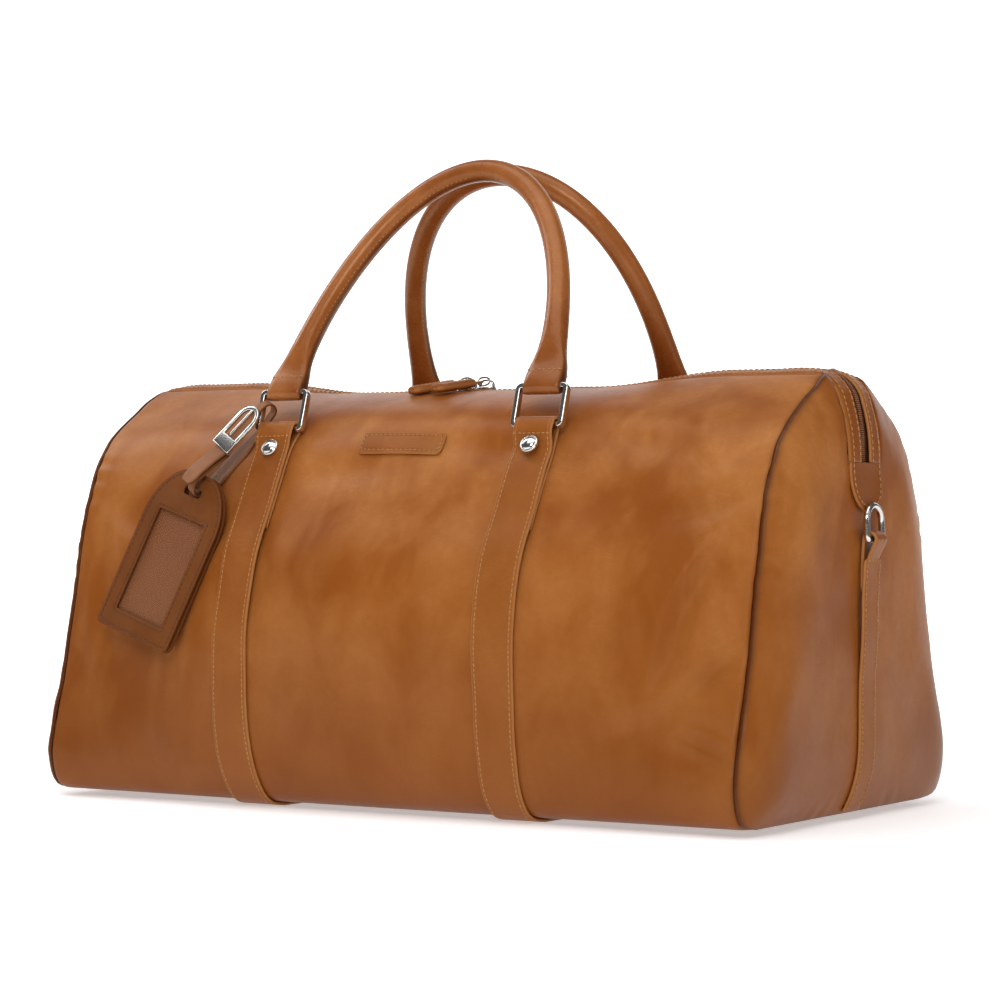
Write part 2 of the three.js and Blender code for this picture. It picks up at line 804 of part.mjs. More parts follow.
// Tag frame: across, up the tag and out from the bag, leaning as the front does.
function tagFrame() {
  const slope = new THREE.Vector3(0, 0.3, 0.95).normalize();
  const level = new THREE.Vector3(1, -0.13, 0).normalize();
  const up = slope.clone().multiplyScalar(Math.cos(tagTurn)).addScaledVector(level, Math.sin(tagTurn));
  const out = new THREE.Vector3().crossVectors(level, slope).normalize();
  return new THREE.Matrix4().makeBasis(new THREE.Vector3().crossVectors(up, out), up, out);
}

function tagOutline() {
  const shape = new THREE.Shape();
  const w = tagWidth / 2;
  const corner = 6;
  const shoulder = 92;
  shape.moveTo(-w + corner, 0).lineTo(w - corner, 0);
  shape.quadraticCurveTo(w, 0, w, corner).lineTo(w, shoulder - 10);
  shape.bezierCurveTo(w, shoulder + 8, w * 0.62, tagHeight, 10, tagHeight);
  shape.lineTo(-10, tagHeight);
  shape.bezierCurveTo(-w * 0.62, tagHeight, -w, shoulder + 8, -w, shoulder - 10);
  shape.lineTo(-w, corner).quadraticCurveTo(-w, 0, -w + corner, 0).closePath();
  return shape;
}

function rectangle(left, low, right, high) {
  const path = new THREE.Path();
  return path.moveTo(left, low).lineTo(left, high).lineTo(right, high).lineTo(right, low).closePath();
}

function tagPly(low, withWindow) {
  const shape = tagOutline();
  shape.holes.push(rectangle(-slotHalf, slotUp - 3, slotHalf, slotUp + 3));
  if (withWindow) {
    const w = windowWidth / 2;
    shape.holes.push(rectangle(-w, windowLow, w, windowLow + windowHeight));
  }
  const options = { depth: tagLeather, bevelEnabled: false, curveSegments: 5 };
  return new THREE.ExtrudeGeometry(shape, options).translate(0, -slotUp, low);
}

const tagGroup = new THREE.Group();
tagGroup.position.copy(tagSlot);
tagGroup.quaternion.setFromRotationMatrix(tagFrame());
bag.add(tagGroup);
const cardLift = tagLeather + plyGap;
addMesh('tag_back', 'tag', tagPly(-cardLift - 0.9, false), tagGroup);
addMesh('tag_front', 'tag', tagPly(0.9, true), tagGroup);
const clearPane = boxAt(windowWidth + 8, windowHeight + 8, 0.4,
  0, windowLow + windowHeight / 2 - slotUp, 0.4);
addMesh('tag_window', 'clear', clearPane, tagGroup);
const cardPane = boxAt(windowWidth + 6, windowHeight + 6, 0.5,
  0, windowLow + windowHeight / 2 - slotUp, -0.6);
addMesh('tag_card', 'lining', cardPane, tagGroup);

// Tag strap frame: along the strap from the slot to the ring, across it, and out from the bag.
const strapAlong = new THREE.Vector3(0.535, 0.425, 0.74).normalize();
const strapOut = new THREE.Vector3(-0.1, -0.85, 0.52).projectOnPlane(strapAlong).normalize();
const strapAcross = new THREE.Vector3().crossVectors(strapOut, strapAlong);
const strapGroup = new THREE.Group();
strapGroup.position.copy(tagSlot);
strapGroup.quaternion.setFromRotationMatrix(
  new THREE.Matrix4().makeBasis(strapAlong, strapAcross, strapOut));
bag.add(strapGroup);

const tagPlyThick = 1.6;

// One strap: tip, up through the buckle, round the ring, down behind the tag's top, through the
// slot and up in front to the buckle's bar. Each point is [along, out, half width].
function tagStrap() {
  const wide = tagStrapWidth / 2;
  const slim = 3.3;
  const line = [[1, 12, wide], [13, 11.6, wide], [24, 10, wide], [34, 8, wide], [52, 7.2, wide],
    [60, 7.3, slim + 1], [71, 8.2, slim]];
  for (let i = 1; i < 6; i++) {
    const angle = Math.PI * (0.5 - i / 6);
    line.push([71.6 + 5.5 * Math.cos(angle), 2.7 + 5.5 * Math.sin(angle), slim]);
  }
  line.push([71, -2.8, slim], [60, -4.8, slim], [52, -5.6, slim + 1], [40, -5.8, wide],
    [10, -6, wide], [1, -5, slim + 1], [-0.8, -2, slim + 1], [-0.8, 1.6, slim + 1],
    [1, 5, slim + 1], [5, 7.4, slim + 1], [12, 9, wide], [21, 7.8, wide], [33, 5, wide]);
  return ribbon((v) => line.map(([a, h, half]) => new THREE.Vector3(a, v * half, h)),
    tagPlyThick);
}

function buckleFrame() {
  const outer = new THREE.Shape();
  const w = 10.4;
  const inner = 8.4;
  outer.moveTo(33, -w).lineTo(58, -w);
  outer.absarc(58, 0, w, -Math.PI / 2, Math.PI / 2, false);
  outer.lineTo(33, w).closePath();
  const hole = new THREE.Path();
  hole.moveTo(36, -inner).lineTo(36, inner).lineTo(58, inner);
  hole.absarc(58, 0, inner, Math.PI / 2, -Math.PI / 2, true);
  hole.lineTo(36, -inner);
  outer.holes.push(hole);
  const options = { depth: 1.6, bevelEnabled: false, curveSegments: 7 };
  const frame = new THREE.ExtrudeGeometry(outer, options).translate(0, 0, 9.2);
  const plate = boxAt(9, 2 * w, 1.2, 38, 0, 10.2);
  return join(frame, plate);
}

// The prong is a flat wire from the buckle's plate to the round end of its frame.
function buckleProng() {
  return boxAt(22, 1.8, 1, 54.6, 0, 11.5);
}

addMesh('tag_strap', 'strap', tagStrap(), strapGroup);
addMesh('tag_buckle', 'nickel', buckleFrame(), strapGroup);
addMesh('buckle_prong', 'nickel', buckleProng(), strapGroup);

export default bag;
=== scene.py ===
import json
import math
import bmesh
import bpy
import numpy as np
from mathutils import Matrix, Vector, noise


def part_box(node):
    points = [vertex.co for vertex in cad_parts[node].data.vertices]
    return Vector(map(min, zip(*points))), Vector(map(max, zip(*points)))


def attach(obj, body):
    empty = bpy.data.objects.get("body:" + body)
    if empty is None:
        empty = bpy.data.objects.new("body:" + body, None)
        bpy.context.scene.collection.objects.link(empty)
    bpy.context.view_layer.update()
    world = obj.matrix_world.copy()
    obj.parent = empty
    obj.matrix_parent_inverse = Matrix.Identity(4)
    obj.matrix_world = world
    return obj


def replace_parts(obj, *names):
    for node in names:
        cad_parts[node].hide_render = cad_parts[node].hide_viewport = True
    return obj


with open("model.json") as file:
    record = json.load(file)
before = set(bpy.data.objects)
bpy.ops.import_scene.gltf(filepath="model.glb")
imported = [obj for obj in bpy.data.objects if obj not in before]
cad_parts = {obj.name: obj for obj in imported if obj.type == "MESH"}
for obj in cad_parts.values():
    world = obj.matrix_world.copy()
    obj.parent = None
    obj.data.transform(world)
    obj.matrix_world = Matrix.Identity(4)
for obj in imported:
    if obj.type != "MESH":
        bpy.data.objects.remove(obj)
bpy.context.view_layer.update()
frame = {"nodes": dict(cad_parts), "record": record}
joints = {j["name"]: j for j in frame["record"]["behaviour"]["joints"]}
mm = 0.001


# camera, light and floor

view = dict(turn=32.4, distance=2.010, aside=0.007, height=0.1918, lens=108.54, shiftY=0.0106)
light = dict(world=0.10, overhead=23, front=20, right=3.2, left=11, floorGlow=0.95, nearGlow=0.42)


def aimAt(obj, place, target):
    obj.location = place
    obj.rotation_euler = (Vector(target) - Vector(place)).to_track_quat("-Z", "Y").to_euler()


def softbox(name, power, size, place, target):
    data = bpy.data.lights.new(name, "AREA")
    data.shape, data.size, data.size_y, data.energy = "RECTANGLE", size[0], size[1], power
    obj = bpy.data.objects.new(name, data)
    bpy.context.collection.objects.link(obj)
    aimAt(obj, place, target)


def makeStage():
    a = math.radians(view["turn"])
    right, ahead = Vector((math.cos(a), math.sin(a), 0)), Vector((-math.sin(a), math.cos(a), 0))
    data = bpy.data.cameras.new("camera")
    data.sensor_width, data.lens, data.shift_y = 36, view["lens"], view["shiftY"]
    data.clip_start, data.clip_end = 0.05, 60
    camera = bpy.data.objects.new("camera", data)
    bpy.context.collection.objects.link(camera)
    camera.location = right * view["aside"] - ahead * view["distance"] + Vector((0, 0, view["height"]))
    camera.rotation_euler = ahead.to_track_quat("-Z", "Y").to_euler()
    scene = bpy.context.scene
    scene.camera = camera
    scene.view_settings.view_transform = "Standard"
    scene.world = bpy.data.worlds.new("studio")
    scene.world.use_nodes = True
    back = scene.world.node_tree.nodes["Background"]
    back.inputs[0].default_value, back.inputs[1].default_value = (1, 1, 1, 1), light["world"]
    softbox("overhead", light["overhead"], (2.4, 1.6), (0.1, -0.5, 2.1), (0, 0, 0.2))
    softbox("front", light["front"], (1.1, 0.8), (0.9, -2.0, 1.5), (0.05, 0, 0.15))
    softbox("right", light["right"], (1.0, 1.4), (2.1, 0.1, 1.1), (0.2, 0, 0.15))
    softbox("left", light["left"], (0.5, 1.2), (-1.7, -0.1, 1.7), (0, 0, 0.3))
    return ahead


# shader nodes as expressions

class Wire:
    def __init__(self, paint, socket):
        self.paint, self.socket = paint, socket

    def maths(self, kind, a, b):
        return self.paint.node("ShaderNodeMath", dict(operation=kind), {0: a, 1: b})

    def __add__(self, other):
        return self.maths("ADD", self, other)

    def __radd__(self, other):
        return self.maths("ADD", other, self)

    def __sub__(self, other):
        return self.maths("SUBTRACT", self, other)

    def __rsub__(self, other):
        return self.maths("SUBTRACT", other, self)

    def __mul__(self, other):
        return self.maths("MULTIPLY", self, other)

    def __rmul__(self, other):
        return self.maths("MULTIPLY", other, self)

    def __pow__(self, other):
        return self.maths("POWER", self, other)


class Paint:
    def __init__(self, name):
        self.material = bpy.data.materials.new(name)
        self.material.use_nodes = True
        self.tree = self.material.node_tree
        self.shader = self.tree.nodes["Principled BSDF"]

    def put(self, socket, value):
        if isinstance(value, Wire):
            self.tree.links.new(value.socket, socket)
        elif isinstance(value, tuple) and socket.type == "RGBA":
            socket.default_value = (*value, 1)[:4]
        else:
            socket.default_value = value

    def node(self, kind, settings=None, values=None, out=0):
        made = self.tree.nodes.new(kind)
        for key, value in (settings or {}).items():
            if key == "stops":
                ramp = made.color_ramp.elements
                while len(ramp) < len(value):
                    ramp.new(0.5)
                for element, (at, grey) in zip(ramp, value):
                    element.position, element.color = at, (grey, grey, grey, 1)
            else:
                setattr(made, key, value)
        for key, value in (values or {}).items():
            self.put(made.inputs[key], value)
        return Wire(self, made.outputs[out])

    def where(self, scale=(1, 1, 1), turn=(0, 0, 0)):
        place = self.node("ShaderNodeTexCoord", out=3)
        return self.node("ShaderNodeMapping", {}, {"Vector": place, "Scale": scale, "Rotation": turn})

    def noise(self, scale, detail=3, rough=0.5, bend=0.0, at=None):
        return self.node("ShaderNodeTexNoise", {}, {"Vector": at or self.where(), "Scale": scale,
                         "Detail": detail, "Roughness": rough, "Distortion": bend})

    def cells(self, scale, feature="F1", at=None):
        return self.node("ShaderNodeTexVoronoi", dict(feature=feature),
                         {"Vector": at or self.where(), "Scale": scale})

    def ramp(self, value, *stops):
        return self.node("ShaderNodeValToRGB", dict(stops=stops), {0: value})

    def attribute(self, name):
        return self.node("ShaderNodeAttribute", dict(attribute_name=name), out=2)

    def mix(self, factor, a, b, way="MIX"):
        return self.node("ShaderNodeMix", dict(data_type="RGBA", blend_type=way, clamp_factor=True),
                         {0: factor, 6: a, 7: b}, 2)

    def bump(self, height, strength, distance, after=None):
        values = {"Height": height, "Strength": strength, "Distance": distance}
        if after:
            values["Normal"] = after
        return self.node("ShaderNodeBump", {}, values)

    def finish(self, **sockets):
        for name, value in sockets.items():
            self.put(self.shader.inputs[name.replace("_", " ")], value)
        return self.material


# The edge colour is the tone of dyed edges and also of painted shade.
def leather(name, light, middle, dark, edge, rough=0.40, patch=0.5, grain=0.16, low=0.0, lowShadeTone=None,
            shine=0.24):
    p = Paint(name)
    cloud = p.noise(6, 3, 0.5, 0.3)
    patches = p.noise(15, 4, 0.5, 0.5, p.where((1, 1, 0.8), (0.3, 0.2, 0.5)))
    smear = p.noise(26, 3, 0.5, 0.9, p.where((1, 1, 0.4), (0.2, 0.5, 0.1)))
    fine = p.noise(190, 4, 0.65)
    tone = cloud * 0.8 + patches * 0.5 + smear * 0.2 - 0.25
    colour = p.mix(p.ramp(tone, (0.25, 0), (0.75, 1)), dark, middle)
    bright = p.ramp(patches * 0.7 + smear * 0.5, (0.5, 0), (0.78, 1))
    colour = p.mix(bright * patch, colour, light)
    wrinkles = p.noise(44, 5, 0.6, 1.6, p.where((1, 1, 1.9), (0.1, 0.3, 0)))
    lines = p.ramp(wrinkles, (0.475, 1), (0.5, 0), (0.525, 1))
    colour = p.mix((1 - lines) * bright * 0.3, colour, light)
    colour = p.mix(p.ramp(fine, (0.3, 0), (0.75, 1)) * 0.2, colour, dark)
    # Painted shade: the leather darkens towards the bottom, by height, in the low shade tone.
    if low:
        height = p.node("ShaderNodeSeparateXYZ", {}, {0: p.where()}, 2)
        colour = p.mix(p.ramp(height * 4 + cloud * 0.5, (0.3, 1), (1.0, 0)) * low, colour, lowShadeTone)
    # Painted shade: the "shade" marks pull the colour towards the edge tone in seam and stitch grooves,
    # near the base and along the handles' undersides.
    paintedShade = p.attribute("shade")
    colour = p.mix(paintedShade * (0.75 + fine * 0.3), colour, edge)
    rim = p.attribute("edge")
    colour = p.mix(rim, colour, edge)
    pores = p.cells(1150, "SMOOTH_F1")
    pebble = p.noise(420, 3, 0.6)
    normal = p.bump(pores * 0.5 + pebble * 0.7, grain, 0.0005)
    normal = p.bump(lines, 0.07, 0.0008, normal)
    gloss = rough + (patches - 0.5) * 0.25 + (fine - 0.5) * 0.12 + rim * 0.1
    return p.finish(Base_Color=colour, Roughness=gloss, Normal=normal, Specular_IOR_Level=shine,
                    Specular_Tint=(1.0, 0.72, 0.46))


def metal(name, colour, rough, scratch=0.05):
    p = Paint(name)
    haze = p.noise(60, 4, 0.6)
    lines = p.noise(900, 2, 0.5, 0, p.where((1, 0.08, 1)))
    normal = p.bump(lines, scratch, 0.0001)
    tint = p.mix(p.ramp(haze, (0.4, 0), (0.8, 1)) * 0.25, colour, tuple(c * 0.78 for c in colour))
    return p.finish(Base_Color=tint, Metallic=1.0, Roughness=rough + haze * 0.08, Normal=normal)


def woven(name, colour, other, pitch=0.0008, rough=0.85):
    p = Paint(name)
    turns = 1 / pitch
    bands = p.node("ShaderNodeTexWave", dict(bands_direction="X"),
                   {"Vector": p.where(), "Scale": turns / 6.283, "Distortion": 0.6})
    weft = p.node("ShaderNodeTexWave", dict(bands_direction="DIAGONAL"),
                  {"Vector": p.where(), "Scale": turns / 6.283, "Distortion": 0.8})
    weave = p.node("ShaderNodeMath", dict(operation="MAXIMUM"), {0: bands, 1: weft})
    blotch = p.noise(40, 3)
    return p.finish(Base_Color=p.mix(weave * (0.5 + blotch * 0.4), other, colour), Roughness=rough,
                    Normal=p.bump(weave, 0.4, 0.0003), Specular_IOR_Level=0.2)


def thread(name, colour, dark):
    p = Paint(name)
    twist = p.node("ShaderNodeTexWave", dict(bands_direction="DIAGONAL"),
                   {"Vector": p.where(), "Scale": 260, "Distortion": 1.0})
    return p.finish(Base_Color=p.mix(twist * 0.6, dark, colour), Roughness=0.6,
                    Normal=p.bump(twist, 0.5, 0.0002))


paints = dict(
    # The body's edge tone only colours its painted shade; the handle's edge tone colours its painted
    # underside shade and its dyed edges.
    body=leather("body_leather", (0.53, 0.215, 0.060), (0.375, 0.112, 0.0165), (0.255, 0.065, 0.008),
                 (0.085, 0.02, 0.005), patch=0.6, low=0.8, lowShadeTone=(0.215, 0.058, 0.0095)),
    strap=leather("strap_leather", (0.46, 0.175, 0.044), (0.315, 0.094, 0.0155), (0.235, 0.062, 0.009),
                  (0.44, 0.185, 0.06), patch=0.3, low=0.5, lowShadeTone=(0.25, 0.078, 0.018)),
    handle=leather("handle_leather", (0.52, 0.20, 0.06), (0.33, 0.096, 0.017), (0.20, 0.05, 0.009),
                   (0.05, 0.013, 0.005), rough=0.28, patch=0.35, shine=0.55),
    tag=leather("tag_leather", (0.25, 0.085, 0.021), (0.185, 0.054, 0.0105), (0.14, 0.038, 0.007),
                (0.11, 0.03, 0.008), rough=0.6, patch=0.4, grain=0.35),
    tagStrap=leather("tag_strap_leather", (0.42, 0.19, 0.085), (0.29, 0.107, 0.038), (0.19, 0.058, 0.018),
                     (0.11, 0.034, 0.011), rough=0.42, patch=0.6, grain=0.4),
    nickel=metal("polished_nickel", (0.72, 0.70, 0.67), 0.10),
    tape=woven("zip_tape", (0.12, 0.038, 0.013), (0.06, 0.019, 0.008)),
    lining=woven("lining_twill", (0.30, 0.22, 0.14), (0.2, 0.15, 0.09), 0.0012),
    thread=thread("waxed_thread", (0.66, 0.34, 0.11), (0.36, 0.15, 0.035)),
    darkThread=thread("dark_thread", (0.13, 0.045, 0.017), (0.07, 0.022, 0.008)),
)


def coilPlastic():
    p = Paint("zip_coil")
    spots = p.noise(300, 3)
    return p.finish(Base_Color=p.mix(spots, (0.17, 0.05, 0.016), (0.32, 0.11, 0.036)), Roughness=0.42,
                    Normal=p.bump(spots, 0.2, 0.0002))


def boardPlastic():
    p = Paint("stiffener_board")
    spots = p.noise(500, 4, 0.7)
    return p.finish(Base_Color=p.mix(spots, (0.03, 0.028, 0.026), (0.07, 0.065, 0.06)), Roughness=0.8,
                    Normal=p.bump(spots, 0.4, 0.0004))


def twistedCord():
    p = Paint("twisted_cord")
    twist = p.node("ShaderNodeTexWave", dict(bands_direction="DIAGONAL"),
                   {"Vector": p.where(), "Scale": 90, "Distortion": 0.5})
    return p.finish(Base_Color=p.mix(twist, (0.45, 0.36, 0.24), (0.66, 0.57, 0.42)), Roughness=0.9,
                    Normal=p.bump(twist, 0.6, 0.0008))


def clearVinyl():
    p = Paint("clear_vinyl")
    wave = p.noise(30, 2)
    dust = p.ramp(p.noise(380, 4, 0.7), (0.55, 0), (0.8, 1))
    return p.finish(Base_Color=(0.36, 0.16, 0.07), Roughness=0.18 + dust * 0.04, Alpha=0.10 + wave * 0.04,
                    Normal=p.bump(wave, 0.05, 0.002), Specular_IOR_Level=0.18)


def plainCard():
    p = Paint("plain_card")
    fibre = p.noise(700, 4, 0.7, 0, p.where((1, 0.3, 1)))
    # Painted shade: the card is lighter low down and darker towards its top, by height.
    height = p.node("ShaderNodeSeparateXYZ", {}, {0: p.where()}, 2)
    fade = p.ramp(height * 12 - 1.2, (0.0, 1), (1.0, 0))
    tint = p.mix(fade, (0.215, 0.062, 0.017), (0.26, 0.092, 0.031))
    return p.finish(Base_Color=p.mix(fibre * 0.05, tint, (0.16, 0.048, 0.014)), Roughness=0.6,
                    Normal=p.bump(fibre, 0.03, 0.0001))


paints["coil"], paints["board"], paints["cord"] = coilPlastic(), boardPlastic(), twistedCord()
paints["vinyl"], paints["card"] = clearVinyl(), plainCard()


def makeFloor():
    p = Paint("studio_floor")
    dust = p.noise(3, 3)
    away = p.node("ShaderNodeVectorMath", dict(operation="LENGTH"), {0: p.where()}, 1)
    across = p.node("ShaderNodeSeparateXYZ", {}, {0: p.where(turn=(0, 0, -math.radians(view["turn"])))})
    across = p.node("ShaderNodeMath", dict(operation="ABSOLUTE"), {0: across})
    glow = p.ramp(away * 0.4, (0.2, light["nearGlow"] / light["floorGlow"]), (0.7, 1))
    glow = glow * p.ramp(across * 0.25, (0.38, 1), (0.55, 0.45))
    p.finish(Base_Color=p.mix(dust * 0.2, (0.92, 0.92, 0.92), (0.88, 0.88, 0.88)), Roughness=0.7,
             Emission_Color=glow, Emission_Strength=light["floorGlow"], Specular_IOR_Level=0.1)
    size = 14
    data = bpy.data.meshes.new("floor")
    data.from_pydata([(-size, -size, 0), (size, -size, 0), (size, size, 0), (-size, size, 0)], [],
                     [(0, 1, 2, 3)])
    data.materials.append(p.material)
    floor = bpy.data.objects.new("floor", data)
    bpy.context.collection.objects.link(floor)
    wall = Paint("studio_backdrop")
    wall.finish(Base_Color=(0.9, 0.9, 0.9), Emission_Color=(1, 1, 1), Emission_Strength=0.95,
                Roughness=0.9)
    back = Vector((-math.sin(math.radians(view["turn"])), math.cos(math.radians(view["turn"])), 0)) * 7
    side = Vector((back.y, -back.x, 0)) * 0.9
    data = bpy.data.meshes.new("backdrop")
    low, high = Vector((0, 0, 0)), Vector((0, 0, 6))
    data.from_pydata([back - side + low, back + side + low, back + side + high, back - side + high], [],
                     [(0, 1, 2, 3)])
    data.materials.append(wall.material)
    backdrop = bpy.data.objects.new("backdrop", data)
    bpy.context.collection.objects.link(backdrop)


makeStage()
makeFloor()
print("stage ready")


# meshes from grids of points, in millimetres

def addPiece(name, points, faces, paint, body, marks=None, smoothed=True):
    data = bpy.data.meshes.new(name)
    data.from_pydata((np.asarray(points) * mm).tolist(), [], faces)
    for key, values in (marks or {}).items():
        data.attributes.new(key, "FLOAT", "POINT").data.foreach_set("value", np.asarray(values, np.float32))
    data.materials.append(paints[paint])
    data.polygons.foreach_set("use_smooth", [smoothed] * len(data.polygons))
    obj = bpy.data.objects.new(name, data)
    bpy.context.collection.objects.link(obj)
    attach(obj, body)
    return obj


def enclosed(points, faces):
    p = np.asarray(points, float)
    total = 0.0
    for f in faces:
        for k in range(1, len(f) - 1):
            total += np.dot(p[f[0]], np.cross(p[f[k]], p[f[k + 1]]))
    return total


def gridFaces(rows, columns, start=0, flip=False, wrap=False):
    width = columns
    faces = []
    for i in range(rows - 1):
        for j in range(columns if wrap else columns - 1):
            a, b = start + i * width + j, start + i * width + (j + 1) % width
            quad = (a, a + width, b + width, b)
            faces.append(quad[::-1] if flip else quad)
    return faces


def unit(v):
    return v / np.maximum(np.linalg.norm(v, axis=-1, keepdims=True), 1e-9)


def gridNormals(p):
    return unit(np.cross(np.gradient(p, axis=0), np.gradient(p, axis=1)))


# A sheet of leather round a middle surface, p[row, column]; fade is its share of the thickness.
def sheet(name, p, thick, fade, paint, body, marks=None):
    rows, columns = p.shape[:2]
    n = gridNormals(p)
    half = (thick / 2 * fade)[..., None]
    top, bottom = p + n * half, p - n * half
    points = np.concatenate([top.reshape(-1, 3), bottom.reshape(-1, 3)])
    count = rows * columns
    faces = gridFaces(rows, columns) + gridFaces(rows, columns, count, True)
    rim = [i * columns for i in range(rows)] + [(rows - 1) * columns + j for j in range(1, columns)]
    rim += [i * columns + columns - 1 for i in range(rows - 2, -1, -1)] + list(range(columns - 2, 0, -1))
    for a, b in zip(rim, rim[1:] + rim[:1]):
        faces.append((a, a + count, b + count, b))
    if enclosed(points - points.mean(0), faces) < 0:
        faces = [f[::-1] for f in faces]
    doubled = {k: np.concatenate([np.ravel(v), np.ravel(v)]) for k, v in (marks or {}).items()}
    return addPiece(name, points, faces, paint, body, doubled)


# The share of a piece's thickness left near its rounded edge, d being 0 at the edge and 1 inside.
def roundedOff(d, least):
    d = np.clip(d, 0, 1)
    return np.maximum(np.sqrt(1 - (1 - d) ** 2), least)


# Columns across a strip, closer at its two edges and beside each stitched groove.
def across(width, rounding=0.9, inner=5, grooves=()):
    half = width / 2
    near = [0, 0.14 * rounding, 0.45 * rounding, rounding]
    places = [-half + d for d in near]
    places += list(np.linspace(-half + rounding, half - rounding, inner + 2)[1:-1])
    places += [half - d for d in reversed(near)]
    places += [at + k for at in grooves for k in (-0.9, -0.35, 0.35, 0.9)]
    w = np.unique(np.round(places, 4))
    return w, roundedOff((half - np.abs(w)) / rounding, 0.12)


def edgeMark(w, width, reach=1.1):
    return np.clip(1 - (width / 2 - np.abs(w)) / reach, 0, 1)


# The stretch of a smooth curve from b to c, at the share w of the way, with a and d on either side.
def stretch(a, b, c, d, w):
    g0, g1, g2 = (np.maximum(np.linalg.norm(v - u, axis=-1, keepdims=True), 1e-6) ** 0.5
                  for u, v in ((a, b), (b, c), (c, d)))
    m1 = ((b - a) / g0 - (c - a) / (g0 + g1) + (c - b) / g1) * g1
    m2 = ((c - b) / g1 - (d - b) / (g1 + g2) + (d - c) / g2) * g1
    return b + m1 * w + (-3 * b + 3 * c - 2 * m1 - m2) * w ** 2 + (2 * b - 2 * c + m1 + m2) * w ** 3


# Smooth line through control points, p[point, ...] with the position last; t counts the points.
def spline(p, t):
    p = np.asarray(p, float)
    last = len(p) - 1
    t = np.clip(np.asarray(t, float), 0, last - 1e-9)
    i = np.minimum(t.astype(int), last - 1)
    w = (t - i).reshape((-1,) + (1,) * (p.ndim - 1))
    padded = np.concatenate([[2 * p[0] - p[1]], p, [2 * p[-1] - p[-2]]])
    return stretch(*(padded[i + k] for k in range(4)), w)


def evenLine(p, step):
    p = np.asarray(p, float)
    fine = spline(p, np.linspace(0, len(p) - 1, len(p) * 24))
    run = np.concatenate([[0], np.cumsum(np.linalg.norm(np.diff(fine, axis=0), axis=1))])
    at = np.linspace(0, run[-1], max(int(run[-1] / step), 2) + 1)
    return np.stack([np.interp(at, run, fine[:, k]) for k in range(fine.shape[1])], 1)


# the body's surface: stations down a section from the zip (0) to the middle of the base (13)

shape = dict(seamX=259.0, plump=2.0, sagFrom=95.0, sagTo=185.0, endStep=2.6, endBulge=13.6,
             bulgeReach=55.0, endCentreZ=130.0, panel=2.4, rolled=3.2)
middleSection = np.array([[0, 272], [22, 271.3], [60, 264], [88, 251], [105.5, 229], [127, 194],
                          [146, 160], [155.5, 120], [155.5, 80], [151, 48], [143, 24], [129, 6.7],
                          [112, 2.4], [0, 2.4]])
endSection = np.array([[0, 281], [22, 276.5], [52, 260], [80, 240], [95, 219], [106, 190],
                       [113, 160], [121, 120], [130, 80], [139, 50], [142.5, 26], [135, 7.6],
                       [113, 3.5], [0, 2.8]])


def easeStep(low, high, value):
    t = np.clip((value - low) / (high - low), 0, 1)
    return t * t * (3 - 2 * t)


def sectionPoint(x, s):
    x, s = np.broadcast_arrays(np.asarray(x, float), np.asarray(s, float))
    flatX, flatS = x.ravel(), np.clip(s.ravel(), 0, 13 - 1e-9)
    swell = np.clip(np.abs(flatX) / shape["seamX"], 0, 1) ** shape["plump"]
    sag = easeStep(shape["sagFrom"], shape["sagTo"], np.abs(flatX))
    p = middleSection + (endSection - middleSection) * swell[:, None, None]
    rise = endSection[:2, 1] - middleSection[:2, 1]
    p[:, :2, 1] = middleSection[:2, 1] + rise * sag[:, None]
    p = np.concatenate([2 * p[:, :1] - p[:, 1:2], p, 2 * p[:, -1:] - p[:, -2:-1]], 1)
    i = np.minimum(flatS.astype(int), 12)
    k = np.arange(len(i))
    out = stretch(*(p[k, i + n] for n in range(4)), (flatS - i)[:, None])
    floor = p[:, 13, 1]                      # the curve never dips under the base's own station
    out[:, 1] = np.where(flatS > 11.2, np.maximum(out[:, 1], floor), out[:, 1])
    return out.reshape(x.shape + (2,))


def wander(x, y, z, scale, seed=0.0):
    flat = [np.ravel(v) for v in np.broadcast_arrays(x, y, z)]
    got = [noise.noise(Vector((a / scale + seed, b / scale - seed, c / scale))) for a, b, c in zip(*flat)]
    return np.array(got).reshape(np.broadcast(x, y, z).shape)


# Slack in the leather, in millimetres out of the surface: wide dents, and folds beside the seams.
slack = dict(dent=3.2, dentSize=95, ripple=1.15, rippleSize=36, fold=2.6)
folds = [  # x, height, turn from level, length, width, depth of each fold in the front
    (226, 150, 62, 38, 7, 1.7), (238, 96, 40, 30, 6, 1.5), (214, 110, 74, 34, 8, 1.2),
    (230, 196, 20, 44, 8, 1.3), (205, 66, 20, 46, 9, 1.1), (-222, 120, 108, 40, 9, 1.0),
    (-205, 182, 150, 44, 8, 1.2), (-40, 216, 4, 60, 10, 0.7), (60, 232, -8, 70, 9, 0.8),
    (160, 238, -14, 60, 9, 1.1), (236, 52, -20, 30, 7, 1.3), (20, 60, 12, 90, 14, 0.7),
]


def slackness(x, z, side):
    spread = 1 - np.clip(np.abs(x) / 255, 0, 1) ** 6
    out = slack["dent"] * wander(x, 37.0 * side, z, slack["dentSize"]) * spread
    out = out + slack["ripple"] * wander(x, 11.0 * side, z, slack["rippleSize"], 4.2) * spread
    for fx, fz, turn, length, width, depth in folds:
        across = x - fx * (1 if side < 0 else -0.9), z - fz - (0 if side < 0 else 9)
        a = math.radians(turn)
        u = across[0] * math.cos(a) + across[1] * math.sin(a)
        v = -across[0] * math.sin(a) + across[1] * math.cos(a)
        hit = np.exp(-(u / length) ** 2 * 2)
        valley, ridge = np.exp(-(v / width) ** 2), np.exp(-((v - 1.6 * width) / width) ** 2)
        out = out - depth * slack["fold"] * hit * (valley - 0.55 * ridge)
    return out * easeStep(6, 40, z) * (1 - 0.75 * easeStep(225, 262, z))


